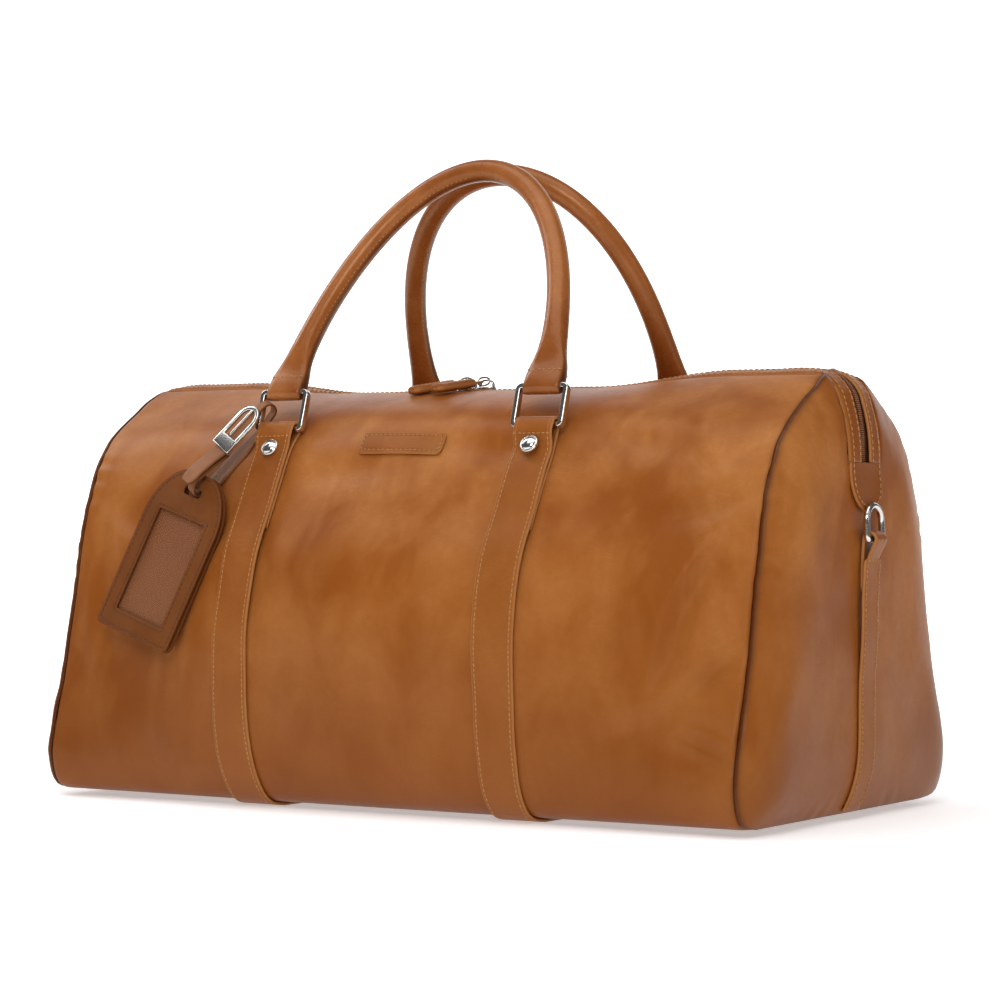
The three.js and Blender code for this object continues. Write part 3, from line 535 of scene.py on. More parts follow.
def skin(x, s, side, lift=0.0):
    x, s = np.broadcast_arrays(np.asarray(x, float), np.asarray(s, float))
    s = np.clip(s, 0.012, 12.988)

    def at(px, ps):
        q = sectionPoint(px, ps)
        return np.stack([px, q[..., 0] * side, q[..., 1]], -1)
    n = np.cross(at(x + 0.5, s) - at(x - 0.5, s), at(x, s + 0.01) - at(x, s - 0.01))
    n = unit(n) * side
    p = at(x, s)
    return p + n * (np.asarray(lift) + slackness(x, p[..., 2], side))[..., None]


def rowStation(row):
    return 1.02 + 10.96 * row / 15


def topHeight(x, y):
    middle, edge = sectionPoint(x, 0.0)[..., 1], sectionPoint(x, 1.0)[..., 1]
    return middle + (edge - middle) * (y / 22) ** 2


outline = sectionPoint(shape["seamX"], np.linspace(0, 12.999, 260))
outlineAngle = np.arctan2(outline[:, 0], outline[:, 1] - shape["endCentreZ"])
outlineFar = np.hypot(outline[:, 0], outline[:, 1] - shape["endCentreZ"])


def outlineRadius(angle):
    return np.interp(np.abs(angle), outlineAngle, outlineFar)


def endX(y, z, side=1):
    y, z = np.asarray(y, float), np.asarray(z, float)
    far = np.hypot(y, z - shape["endCentreZ"])
    inside = np.maximum(outlineRadius(np.arctan2(y, z - shape["endCentreZ"])) - far, 0)
    swell = 1 - (1 - np.minimum(inside / shape["bulgeReach"], 1)) ** 2.6
    calm = np.minimum(inside / 30, 1) * (1 - 0.8 * easeStep(205, 235, z))
    dents = 1.3 * wander(y, z, 60.0 * side, 70, 9.1) + 0.5 * wander(y, z, 31.0 * side, 28, 2.2)
    return shape["seamX"] + shape["endStep"] + shape["endBulge"] * swell + dents * calm


# The end seams are not quite straight: how far they stray along the length at a height.
def seamStray(y, z):
    wide = 1.5 * wander(y, z, 3.0, 34, 5.7) + 0.8 * wander(y, z, 7.0, 14, 1.9)
    return wide * easeStep(20, 60, z) * (0.55 + 0.6 * easeStep(150, 215, z)) * easeStep(24, 40, np.abs(y))


# How far an edge that turns into a seam drops, at a distance from the seam.
def turnedIn(d, radius):
    d = np.clip(d, 0, radius)
    return radius - np.sqrt(np.maximum(radius ** 2 - (radius - d) ** 2, 0))


def sidePanel(side, name, columns=250, rows=150):
    edge = shape["seamX"] - 0.8
    near = np.array([0, 0.4, 1.0, 1.8, 2.8, 4.2, 6])
    x = np.concatenate([-edge + near, np.linspace(-edge + 8.2, edge - 8.2, columns), (edge - near)[::-1]])
    down = np.array([0, 0.02, 0.045, 0.08, 0.13, 0.19])
    s = np.concatenate([1.012 + down, np.linspace(1.27, 11.86, rows), [11.9, 11.94, 11.97, 11.985]])
    s, x = np.meshgrid(s, x, indexing="ij")
    base = skin(x, s, side)
    d = edge + 0.6 - np.abs(x)
    top = (s - 1.012) * 24 + 0.5
    drop = turnedIn(d, shape["rolled"]) + turnedIn(top, 3.2)
    z = base[..., 2]
    pucker = 0.5 * np.exp(-(d - 6) ** 2 / 60) * np.sin(z / 2.3 + 4 * wander(x, z, 5.0 * side, 40, 1.5))
    pucker = pucker * np.clip(0.3 + 1.6 * wander(x, z, 9.0, 24, 3.3), 0, 1) * easeStep(20, 50, z)
    p = base + gridNormals(base) * -side * (pucker - drop - shape["panel"] / 2)[..., None]
    p[..., 0] += np.sign(x) * seamStray(p[..., 1], z) * np.exp(-d / 14)
    shade = np.clip(np.exp(-(d - 0.6) / 0.8) + 0.9 * np.exp(-(top - 0.4) / 0.9), 0, 1)
    shade = np.maximum(shade, 0.5 * (1 - easeStep(0, 9, z)))
    return sheet(name, p, shape["panel"], np.ones_like(x), "body", "bag",
                 dict(shade=shade, edge=x * 0))


def endPanel(side, name, spokes=250, rings=46):
    rim = [0.92, 0.94, 0.955, 0.967, 0.976, 0.984, 0.99, 0.995]
    r = np.concatenate([np.linspace(0.03, 0.9, rings), rim])
    angle = np.linspace(-math.pi, math.pi, spokes, endpoint=False)
    angle, r = np.meshgrid(angle, r, indexing="ij")
    reach = outlineRadius(angle) * r
    d = outlineRadius(angle) - reach
    y, z = reach * np.sin(angle), shape["endCentreZ"] + reach * np.cos(angle)
    x = endX(y, z, side)
    along = angle * 130
    pucker = 0.5 * np.exp(-(d - 6) ** 2 / 60) * np.sin(along / 2.4 + 3 * wander(y, z, 3.0, 40, 6.5))
    x = x + pucker * np.clip(0.2 + 1.8 * wander(y, z, 8.0 * side, 30, 3.9), 0, 1)
    x = x - turnedIn(d, shape["rolled"] + 0.3)
    x = x + seamStray(y, z) * np.exp(-d / 14)
    under = (1 - easeStep(19.5, 21.6, np.abs(y))) * easeStep(220.5, 223, z)
    x = x - 6.5 * under
    shade = np.clip(np.exp(-(d - 0.8) / 1.0), 0, 1)
    groove = np.exp(-((np.abs(y) - 22.2) / 1.0) ** 2) * easeStep(218, 224, z)
    x, shade = x - 1.2 * groove, np.maximum(shade, 0.9 * groove)
    outer = np.stack([side * x, y, z], -1)
    tip = np.array([[side * endX(0.0, shape["endCentreZ"], side), 0, shape["endCentreZ"]]])
    thick = np.array([side * shape["panel"], 0, 0])
    count = outer.shape[0] * outer.shape[1]
    points = np.concatenate([outer.reshape(-1, 3), tip, outer.reshape(-1, 3) - thick, tip - thick])
    n, m = outer.shape[:2]
    faces = []
    for start, flip in ((0, False), (count + 1, True)):
        for i in range(n):
            k = (i + 1) % n
            ring = [(start + i * m + j, start + i * m + j + 1, start + k * m + j + 1, start + k * m + j)
                    for j in range(m - 1)]
            ring.append((start + count, start + i * m, start + k * m))
            faces += [f[::-1] for f in ring] if flip else ring
    for i in range(n):
        a, b = i * m + m - 1, (i + 1) % n * m + m - 1
        faces.append((a, a + count + 1, b + count + 1, b))
    if enclosed(points, faces) < 0:
        faces = [f[::-1] for f in faces]
    both = np.concatenate([shade.ravel(), [0], shade.ravel(), [0]])
    return addPiece(name, points, faces, "body", "bag", dict(shade=both, edge=both * 0))


def basePanel():
    x = np.linspace(-shape["seamX"] + 1, shape["seamX"] - 1, 90)
    s = np.concatenate([np.linspace(12.02, 13, 14), np.linspace(13, 12.02, 14)[1:]])
    side = np.concatenate([-np.ones(14), np.ones(13)])
    rows = [skin(x, np.full_like(x, k), g) for k, g in zip(s, side)]
    p = np.stack(rows)
    p[..., 2] += shape["panel"] / 2
    return sheet("base_leather", p, shape["panel"], np.ones(p.shape[:2]), "body", "bag",
                 dict(shade=np.full(p.shape[:2], 0.25), edge=np.zeros(p.shape[:2])))


for side, name in ((-1, "front"), (1, "back")):
    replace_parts(sidePanel(side, f"{name}_leather"), f"{name}_panel")
for side, name in ((-1, "left"), (1, "right")):
    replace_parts(endPanel(side, f"end_leather_{name}"), f"end_panel_{name}")
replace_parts(basePanel(), "base_panel")
print("body leather ready")

# things repeated along a line: stitches and coil turns

def repeatTree():
    tree = bpy.data.node_groups.new("repeatAlong", "GeometryNodeTree")
    face = tree.interface
    face.new_socket("Geometry", in_out="INPUT", socket_type="NodeSocketGeometry")
    for key, usual in (("Pitch", 0.004), ("Length", 0.003), ("Width", 0.0008), ("Height", 0.0006)):
        face.new_socket(key, in_out="INPUT", socket_type="NodeSocketFloat").default_value = usual
    face.new_socket("Paint", in_out="INPUT", socket_type="NodeSocketMaterial")
    face.new_socket("Geometry", in_out="OUTPUT", socket_type="NodeSocketGeometry")

    def add(kind, settings=None, links=None):
        made = tree.nodes.new(kind)
        for key, value in (settings or {}).items():
            setattr(made, key, value)
        for key, value in (links or {}).items():
            if isinstance(value, bpy.types.NodeSocket):
                tree.links.new(value, made.inputs[key])
            else:
                made.inputs[key].default_value = value
        return made
    given = add("NodeGroupInput").outputs
    curve = add("GeometryNodeMeshToCurve", {}, {"Mesh": given["Geometry"]})
    even = add("GeometryNodeResampleCurve", dict(mode="LENGTH"),
               {"Curve": curve.outputs[0], "Length": given["Pitch"]})
    up = add("GeometryNodeInputNamedAttribute", dict(data_type="FLOAT_VECTOR"), {"Name": "up"})
    along = add("GeometryNodeInputTangent")
    first = add("FunctionNodeAlignRotationToVector", dict(axis="X"), {"Vector": along.outputs[0]})
    turn = add("FunctionNodeAlignRotationToVector", dict(axis="Z", pivot_axis="X"),
               {"Rotation": first.outputs[0], "Vector": up.outputs[0]})
    bead = add("GeometryNodeMeshUVSphere", {}, {"Segments": 8, "Rings": 5, "Radius": 0.5})
    size = add("ShaderNodeCombineXYZ", {}, {0: given["Length"], 1: given["Width"], 2: given["Height"]})
    placed = add("GeometryNodeInstanceOnPoints", {},
                 {"Points": even.outputs[0], "Instance": bead.outputs[0], "Rotation": turn.outputs[0],
                  "Scale": size.outputs[0]})
    real = add("GeometryNodeRealizeInstances", {}, {0: placed.outputs[0]})
    smooth = add("GeometryNodeSetShadeSmooth", {}, {0: real.outputs[0]})
    painted = add("GeometryNodeSetMaterial", {}, {0: smooth.outputs[0], "Material": given["Paint"]})
    out = add("NodeGroupOutput")
    tree.links.new(painted.outputs[0], out.inputs[0])
    return tree


repeatAlong = repeatTree()
beads = dict(stitch=dict(Pitch=3.9, Length=3.0, Width=0.9, Height=0.8),
             fine=dict(Pitch=3.4, Length=2.6, Width=0.8, Height=0.7),
             coil=dict(Pitch=1.3, Length=1.05, Width=3.0, Height=1.7))


# lines is a list of (points, ups); each becomes one row of beads, and all are one piece.
def beadRows(name, lines, kind, paint, body):
    points, ups, edges = [], [], []
    for line, up in lines:
        start = len(points)
        points += (np.asarray(line) * mm).tolist()
        ups += np.asarray(up).tolist()
        edges += [(start + i, start + i + 1) for i in range(len(line) - 1)]
    data = bpy.data.meshes.new(name + "_path")
    data.from_pydata(points, edges, [])
    up = data.attributes.new("up", "FLOAT_VECTOR", "POINT")
    up.data.foreach_set("vector", np.ravel(ups).astype(np.float32))
    carrier = bpy.data.objects.new(name + "_path", data)
    bpy.context.collection.objects.link(carrier)
    modifier = carrier.modifiers.new("repeat", "NODES")
    modifier.node_group = repeatAlong
    for item in repeatAlong.interface.items_tree:
        if item.in_out == "INPUT" and item.name in beads[kind]:
            modifier[item.identifier] = beads[kind][item.name] * mm
        if item.in_out == "INPUT" and item.name == "Paint":
            modifier[item.identifier] = paints[paint]
    bpy.context.view_layer.update()
    made = bpy.data.meshes.new_from_object(carrier.evaluated_get(bpy.context.evaluated_depsgraph_get()))
    bpy.data.objects.remove(carrier)
    obj = bpy.data.objects.new(name, made)
    bpy.context.collection.objects.link(obj)
    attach(obj, body)
    return obj


# a strip from lines at each distance w across it, and rows of stitches on its upper face
def strip(name, lineAt, width, thick, paint, body, squareEnds=False, grooves=()):
    w, fade = across(width, grooves=grooves)
    p = np.stack([lineAt(k) for k in w], 1)
    fades = np.tile(fade, (len(p), 1))
    if not squareEnds:
        fades[0], fades[-1] = 0.12, 0.12
        fades[1], fades[-2] = fades[1] * 0.82, fades[-2] * 0.82
    mark = np.tile(edgeMark(w, width), (len(p), 1))
    shade = np.tile(sum(0.34 * (np.abs(w - at) < 0.5) for at in grooves) + 0 * w, (len(p), 1))
    obj = sheet(name, p, thick, fades, paint, body, dict(edge=mark, shade=shade))
    return obj, p, w


def rowOn(p, w, at, lift, first=0, last=None):
    n = gridNormals(p)
    last = len(p) if last is None else last
    k = int(np.clip(np.searchsorted(w, at) - 1, 0, len(w) - 2))
    f = (at - w[k]) / (w[k + 1] - w[k])
    line = p[:, k] * (1 - f) + p[:, k + 1] * f
    up = unit(n[:, k] * (1 - f) + n[:, k + 1] * f)
    return (line + up * lift)[first:last], up[first:last]


def crossRow(p, w, row, inset, lift):
    n = gridNormals(p)
    keep = np.abs(w) < w[-1] - inset
    return p[row][keep] + n[row][keep] * lift, n[row][keep]


def spot(joint):
    return np.array(joints[joint]["pos_m"]) / mm


# linings and stiffener inside the body

def linings():
    x = np.linspace(-253, 253, 60)
    for side, name in ((-1, "front"), (1, "back")):
        s, xs = np.meshgrid(np.linspace(1.1, 11.7, 50), x, indexing="ij")
        p = skin(xs, s, side, -4.6)
        p[..., 2] = np.maximum(p[..., 2], 10)
        made = sheet(f"{name}_lining", p, 0.8, np.ones(xs.shape), "lining", "bag")
        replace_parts(made, f"lining_{name}")
    for side, name in ((-1, "left"), (1, "right")):
        z = np.linspace(66, 206, 30)
        t = np.linspace(-1, 1, 30)
        reach = np.interp(z, outline[::-1, 1], outline[::-1, 0]) - 24
        y = t[None, :] * reach[:, None]
        zz = np.tile(z[:, None], (1, 30))
        p = np.stack([side * (endX(y, zz, side) - 7.2), y, zz], -1)
        made = sheet(f"end_lining_{name}", p, 0.8, np.ones(y.shape), "lining", "bag")
        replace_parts(made, f"lining_end_{name}")


linings()
for node, paint in (("lining_base", "lining"), ("base_board", "board"), ("handle_core_front", "cord"),
                    ("handle_core_back", "cord")):
    frame["nodes"][node].data.materials.clear()
    frame["nodes"][node].data.materials.append(paints[paint])


# zip: leather facings, tape and coil over the top and down both ends

zipSize = dict(slot=6.5, facing=21.2, thick=2.2, low=221.6, raised=1.2, tape=18.4,
               tapeAt=9.7, tapeDown=3.0)


def zipLine(y, low):
    x = np.arange(0, 241, 20.0)
    right = [(a, topHeight(a, abs(y))) for a in x] + [(257, 278.4 - abs(y) * 0.1)]
    right += [(float(endX(y, z)), z) for z in (267, 256, 244, 232, low)]
    left = [(-float(endX(y, z, -1)), z) for z in (low, 232, 244, 256, 267)] + [(-257, 278.4 - abs(y) * 0.1)]
    left += [(-a, h) for a, h in right[12:0:-1]]
    p = np.array([(a, y, h) for a, h in left + right])
    return spline(p, np.linspace(0, len(p) - 1, 330))


def zipOffset(y, low, down):
    p = zipLine(y, low)
    t = unit(np.gradient(p, axis=0))
    n = np.stack([-t[:, 2], 0 * t[:, 2], t[:, 0]], 1)
    sway = 0.5 * wander(p[:, 0], y * 0.3, p[:, 2], 45, 8.0) * easeStep(3, 12, abs(y))
    return p + n * (sway - down)[:, None]


def makeZip():
    size = zipSize
    for side, name in ((-1, "front"), (1, "back")):
        width = size["facing"] - size["slot"]
        centre = (size["facing"] + size["slot"]) / 2

        rowsAt = -side * (width / 2 - 2.6), side * (width / 2 - 3.4)

        def facing(w):
            turned = turnedIn(width / 2 - abs(w) + 0.3, 2.6) if w * side > 0 else 0.0
            p = zipOffset(side * centre + w, size["low"], size["thick"] / 2 + turned)
            lift = size["raised"] * (1 - easeStep(226, 262, p[:, 2])) * (np.abs(p[:, 0]) > 250)
            return p + np.stack([np.sign(p[:, 0]) * lift, 0 * lift, 0 * lift], 1)
        made, p, w = strip(f"zip_facing_leather_{name}", facing, width, size["thick"], "strap", "bag",
                           squareEnds=True, grooves=rowsAt)
        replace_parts(made, f"zip_facing_{name}")
        up = size["thick"] / 2 + 0.15
        rows = [rowOn(p, w, at, up, 1, -1) for at in rowsAt]
        beadRows(f"zip_facing_stitches_{name}", rows, "stitch", "thread", "bag")

        def cloth(w):
            return zipOffset(side * size["tapeAt"] + w, size["low"], size["tapeDown"])
        tape, p, w = strip(f"zip_tape_cloth_{name}", cloth, size["tape"], 0.6, "tape", "bag",
                           squareEnds=True)
        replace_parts(tape, f"zip_tape_{name}")
    rows = []
    for side in (-1, 1):
        p = zipOffset(side * 1.1, size["low"] + 1, 1.7)
        t = unit(np.gradient(p, axis=0))
        rows.append((p, np.stack([-t[:, 2], 0 * t[:, 2], t[:, 0]], 1)))
    coil = beadRows("zip_coil_turns", rows, "coil", "coil", "bag")
    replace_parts(coil, "zip_coil_front", "zip_coil_back")


makeZip()

tabSize = dict(top=221.4, low=191.0, half=21.6, round=22.0, thick=2.2, inset=3.4)


def makeTabs():
    size = tabSize
    for side, name in ((-1, "left"), (1, "right")):
        def place(z, v, lift):
            fall = np.maximum(size["low"] + size["round"] - z, 0) / size["round"]
            half = size["half"] * np.sqrt(np.maximum(1 - fall ** 2.4, 0.02))
            y = half * v
            free = 1.3 * (1 - (z - size["low"]) / 31) ** 2
            sunk = 1.5 * easeStep(196, 220, z)
            return np.stack([side * (endX(y, z, side) + 0.5 - sunk + lift + free), y, z], -1), half
        near = np.array([0, 0.3, 0.7, 1.3])
        z = [size["low"] + near * 0.8, np.linspace(size["low"] + 1.8, size["top"] - 2.2, 32),
             size["top"] - near[2::-1] * 0.8]
        z = np.concatenate(z)
        v = np.concatenate([-1 + near / 22, np.linspace(-0.9, 0.9, 34), (1 - near / 22)[::-1]])
        zz, vv = np.meshgrid(z, v, indexing="ij")
        p, half = place(zz, vv, size["thick"] / 2)
        edge = np.minimum(half * (1 - np.abs(vv)), zz - size["low"])
        thin = roundedOff(edge / 0.9, 0.12)
        tab = sheet(f"zip_tab_leather_{name}", p, size["thick"], thin, "strap", "bag",
                    dict(edge=np.clip(1 - edge / 1.0, 0, 1) * 0.8, shade=zz * 0))
        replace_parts(tab, f"zip_tab_{name}")
        low = size["low"] + size["inset"]
        ring = []
        for k in np.linspace(-1, 1, 60):
            a = k * math.pi / 2
            y = (size["half"] - size["inset"]) * math.copysign(abs(math.sin(a)) ** 0.85, a)
            drop = size["round"] - size["inset"]
            ring.append((y, low + drop - drop * abs(math.cos(a)) ** 0.8))
        ring = [(-(size["half"] - size["inset"]), 219.5)] + ring + [(size["half"] - size["inset"], 219.5)]
        ring = evenLine(np.array([(0, y, z) for y, z in ring]), 1.5)
        free = 1.3 * (1 - (ring[:, 2] - size["low"]) / 31) ** 2
        free = free - 1.5 * easeStep(196, 220, ring[:, 2])
        ring[:, 0] = side * (endX(ring[:, 1], ring[:, 2], side) + 0.5 + size["thick"] + free + 0.15)
        beadRows(f"zip_tab_stitches_{name}", [(ring, np.tile((side, 0, 0), (len(ring), 1)))], "stitch",
                 "thread", "bag")


makeTabs()
print("zip ready")


# straps round the body, with a loop round each ring bar

strapSize = dict(x=99.4, width=28.0, thick=2.2, gap=0.3, loop=4.2, lift=1.2, stitch=2.4)
chapeStation = rowStation(3.3)


def strapMaths():
    size = strapSize
    first = size["gap"] + size["thick"] / 2
    return first, first + size["thick"] + size["gap"], first + size["loop"] + size["lift"]


def strapLine(x, middle, side, bar):
    first, second, barOut = strapMaths()
    loop = strapSize["loop"]
    foot = skin(middle, chapeStation, side)
    up = unit(skin(middle, chapeStation - 0.05, side) - skin(middle, chapeStation + 0.05, side))
    out = unit(skin(middle, chapeStation, side, 1.0) - foot)
    centre = bar + np.array([x - middle, 0, 0])

    def local(a, h):
        return centre + up * a + out * (h - barOut)

    def onRow(row, height):
        return skin(x, rowStation(row), side, height)
    points = [onRow(6, first), onRow(5, first + 0.1), onRow(4, first + 0.2)]
    for a in np.linspace(-1.571, 1.571, 9):
        points.append(local(loop * math.cos(a), barOut + loop * math.sin(a)))
    points.append(local(-7, barOut + loop - 1.6))
    for row, more in ((4, 1.2), (4.5, 0.55), (5, 0.3), (5.5, 0.1), (5.9, 0)):
        points.append(onRow(row, second + more))
    loopPart = spline(np.array(points), np.linspace(0, len(points) - 1, 88))
    rows = np.linspace(6.0, 14.99, 170)
    height = second + (first - second) * easeStep(6.0, 9.5, rows)
    body = skin(np.full_like(rows, x), rowStation(rows), side, height)
    under = skin(np.full(24, x), np.linspace(12.0, 12.98, 24), side, first)
    return np.concatenate([loopPart, body, under])


def makeStraps():
    size = strapSize
    for name, middle in (("left", -size["x"]), ("right", size["x"])):
        bars = [spot(f"ring_{face}_{name}_swing") for face in ("front", "back")]

        def line(w):
            front = strapLine(middle + w, middle, -1, bars[0])
            back = strapLine(middle + w, middle, 1, bars[1])
            return np.concatenate([front, back[::-1]])
        rowsAt = -size["width"] / 2 + size["stitch"], size["width"] / 2 - size["stitch"]
        made, p, w = strip(f"strap_leather_{name}", line, size["width"], size["thick"], "strap", "bag",
                           grooves=rowsAt)
        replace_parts(made, f"strap_{name}")
        up = size["thick"] / 2 + 0.15
        start = 62
        clear = [i for i in range(start, len(p) - start) if p[i, 0, 2] > 4]
        half = clear[0], next(i for i in clear if i + 1 not in clear) + 1
        rest = next(i for i in clear if i > half[1]), clear[-1] + 1
        rows = [rowOn(p, w, at, up, *part) for at in rowsAt for part in (half, rest)]
        rows += [crossRow(p, w, start, 2.0, up), crossRow(p, w, len(p) - start - 1, 2.0, up)]
        beadRows(f"strap_stitches_{name}", rows, "fine", "thread", "bag")


makeStraps()
print("straps ready")


# pieces turned about an axis, wires along a line, and flat pieces cut to an outline

def frameOf(place, across, up, out):
    m = np.eye(4)
    m[:3, 0], m[:3, 1], m[:3, 2], m[:3, 3] = across, up, out, place
    return m


def placed(m, p):
    return np.asarray(p) @ m[:3, :3].T + m[:3, 3]


def turned(name, profile, m, paint, body, slot, spokes=40):
    angle = np.linspace(0, 2 * math.pi, spokes, endpoint=False)
    points, faces = [], []
    for r, h in profile:
        points += [(r * math.cos(a), r * math.sin(a), h) for a in angle]
    rows = len(profile)
    faces = gridFaces(rows, spokes, wrap=True)
    faces.append(tuple(range(spokes)))
    faces.append(tuple(range((rows - 1) * spokes, rows * spokes))[::-1])
    points = placed(m, points)
    if enclosed(points - points.mean(0), faces) < 0:
        faces = [f[::-1] for f in faces]
    return addPiece(name, points, faces, paint, body)


# Section half sizes may be one number or one for each point; power 2 is round, more is squarer.
def wire(name, path, upward, half, high, paint, body, closed=False, power=2.0, sides=20, marks=None):
    path = np.asarray(path, float)
    if closed:
        along = unit(np.roll(path, -1, 0) - np.roll(path, 1, 0))
    else:
        along = unit(np.gradient(path, axis=0))
    up = unit(np.asarray(upward, float) - along * np.sum(along * upward, -1, keepdims=True))
    beside = np.cross(along, up)
    a = np.linspace(0, 2 * math.pi, sides, endpoint=False)
    power = np.broadcast_to(power, len(path))[:, None]
    c = np.sign(np.cos(a)) * np.abs(np.cos(a)) ** (2 / power)
    s = np.sign(np.sin(a)) * np.abs(np.sin(a)) ** (2 / power)
    half, high = (np.broadcast_to(v, len(path))[:, None, None] for v in (half, high))
    p = path[:, None] + beside[:, None] * (c[..., None] * half) + up[:, None] * (s[..., None] * high)
    rows = len(path)
    points = p.reshape(-1, 3)
    faces = gridFaces(rows, sides, wrap=True)
    if closed:
        last = (rows - 1) * sides
        faces += [(last + j, j, (j + 1) % sides, last + (j + 1) % sides) for j in range(sides)]
    else:
        faces += [tuple(range(sides)), tuple(range((rows - 1) * sides, rows * sides))[::-1]]
    if enclosed(points - points.mean(0), faces) < 0:
        faces = [f[::-1] for f in faces]
    return addPiece(name, points, faces, paint, body, marks)


def cutOut(name, outlines, thick, bevel, m, paint, body, slot, low=0.0, marks=None):
    curve = bpy.data.curves.new(name, "CURVE")
    curve.dimensions, curve.fill_mode = "2D", "BOTH"
    curve.extrude, curve.bevel_depth, curve.bevel_resolution = (thick / 2 - bevel) * mm, bevel * mm, 3
    curve.offset = -bevel * mm
    for line in outlines:
        s = curve.splines.new("POLY")
        s.points.add(len(line) - 1)
        s.use_cyclic_u = True
        for point, (x, y) in zip(s.points, line):
            point.co = (x * mm, y * mm, 0, 1)
    holder = bpy.data.objects.new(name + "_outline", curve)
    bpy.context.collection.objects.link(holder)
    bpy.context.view_layer.update()
    made = bpy.data.meshes.new_from_object(holder.evaluated_get(bpy.context.evaluated_depsgraph_get()))
    bpy.data.objects.remove(holder)
    work = bmesh.new()
    work.from_mesh(made)
    bmesh.ops.remove_doubles(work, verts=work.verts, dist=1e-6)
    bmesh.ops.recalc_face_normals(work, faces=work.faces)
    local = np.array([v.co for v in work.verts]) / mm
    flat = placed(m, local + np.array([0, 0, low + thick / 2]))
    for v, co in zip(work.verts, flat * mm):
        v.co = co
    if work.calc_volume(signed=True) < 0:
        bmesh.ops.reverse_faces(work, faces=work.faces)
    for f in work.faces:
        f.smooth = abs(f.normal.dot(Vector(m[:3, 2]))) < 0.999
    work.to_mesh(made)
    work.free()
    for key, values in (marks(local) if marks else {}).items():
        made.attributes.new(key, "FLOAT", "POINT").data.foreach_set("value", np.asarray(values, np.float32))
    made.materials.clear()
    made.materials.append(paints[paint])
    obj = bpy.data.objects.new(name, made)
    bpy.context.collection.objects.link(obj)
    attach(obj, body)
    return obj


def rimMark(thick):
    return lambda local: dict(edge=(np.abs(local[:, 2]) < thick / 2 - 0.02) * 0.85, shade=local[:, 0] * 0)


def rounded(width, height, corner, lowY=0.0, steps=8):
    w, h = width / 2 - corner, height / 2 - corner
    points = []
    for cx, cy, start in ((w, h, 0), (-w, h, 90), (-w, -h, 180), (w, -h, 270)):
        for k in range(steps + 1):
            a = math.radians(start + 90 * k / steps)
            points.append((cx + corner * math.cos(a), cy + corner * math.sin(a) + lowY + height / 2))
    return points


# rivets and the plain patch on the front

rivetProfile = [(0.4, -1.6), (5.2, -1.6), (5.9, -1.3), (6.2, -0.6), (6.25, 0.2), (6.15, 0.8), (5.9, 1.15),
                (5.5, 1.3), (5.15, 1.2), (4.95, 1.1), (4.75, 1.25), (4.3, 1.75), (3.6, 2.2), (2.6, 2.6),
                (1.4, 2.82), (0.3, 2.88)]


def makeRivets():
    for name, x in (("left", -99.4), ("right", 99.4)):
        for face, side in (("front", -1), ("back", 1)):
            low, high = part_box(f"rivet_{face}_{name}")
            middle = np.array((low + high) / 2) / mm
            out = unit(skin(x, 3.97, side, 1.0) - skin(x, 3.97, side))
            m = frameOf(middle - out * 1.3, np.array([1.0, 0, 0]), np.cross(out, (1, 0, 0)), out)
            made = turned(f"rivet_cap_{face}_{name}", rivetProfile, m, "nickel", "bag", "nickel")
            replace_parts(made, f"rivet_{face}_{name}")


patchSize = dict(half=31.0, top=3.52, low=4.07, height=16.4, corner=3.0, thick=1.6, stitch=2.2)


def makePatch():
    size = patchSize
    near = np.array([0, 0.3, 0.8, 1.5])
    x = np.concatenate([near - size["half"], np.linspace(-28.8, 28.8, 90), (size["half"] - near)[::-1]])
    down = np.concatenate([near, np.linspace(1.9, size["height"] - 1.9, 34), (size["height"] - near)[::-1]])
    down, x = np.meshgrid(down, x, indexing="ij")

    def station(d):
        return size["top"] + (size["low"] - size["top"]) * d / size["height"]
    edgeY = np.minimum(down, size["height"] - down)
    cut = np.maximum(size["corner"] - edgeY, 0)
    pull = size["corner"] - np.sqrt(np.maximum(size["corner"] ** 2 - cut ** 2, 0))
    edge = np.minimum(size["half"] - np.abs(x), edgeY)
    x = x * (size["half"] - pull) / size["half"]
    press = 0.35 * np.exp(-((edge - size["stitch"]) / 0.6) ** 2)
    p = skin(x, station(down), -1, 1.2)
    p = p - gridNormals(p) * press[..., None]
    made = sheet("front_patch_leather", p, size["thick"], roundedOff(edge / 0.9, 0.15), "strap", "bag",
                 dict(edge=np.clip(1 - edge / 0.9, 0, 1) * 0.8, shade=press * 0.7))
    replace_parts(made, "front_patch")
    inset = size["stitch"]
    loop = rounded(2 * (size["half"] - inset), size["height"] - 2 * inset, 2.0, inset)
    loop = evenLine(np.array([(a, 0, b) for a, b in loop + loop[:1]]), 1.0)
    at = skin(loop[:, 0], station(loop[:, 2]), -1, 2.02)
    up = unit(skin(loop[:, 0], station(loop[:, 2]), -1, 3.0) - at)
    beadRows("front_patch_stitches", [(at, up)], "fine", "thread", "bag")


makeRivets()
makePatch()


# rings and rolled handles

handleSize = dict(reach=170.0, span=99.4, frontFull=1.85, backFull=2.5)
leans = dict(front=(17, 29.5), back=(48, 25))


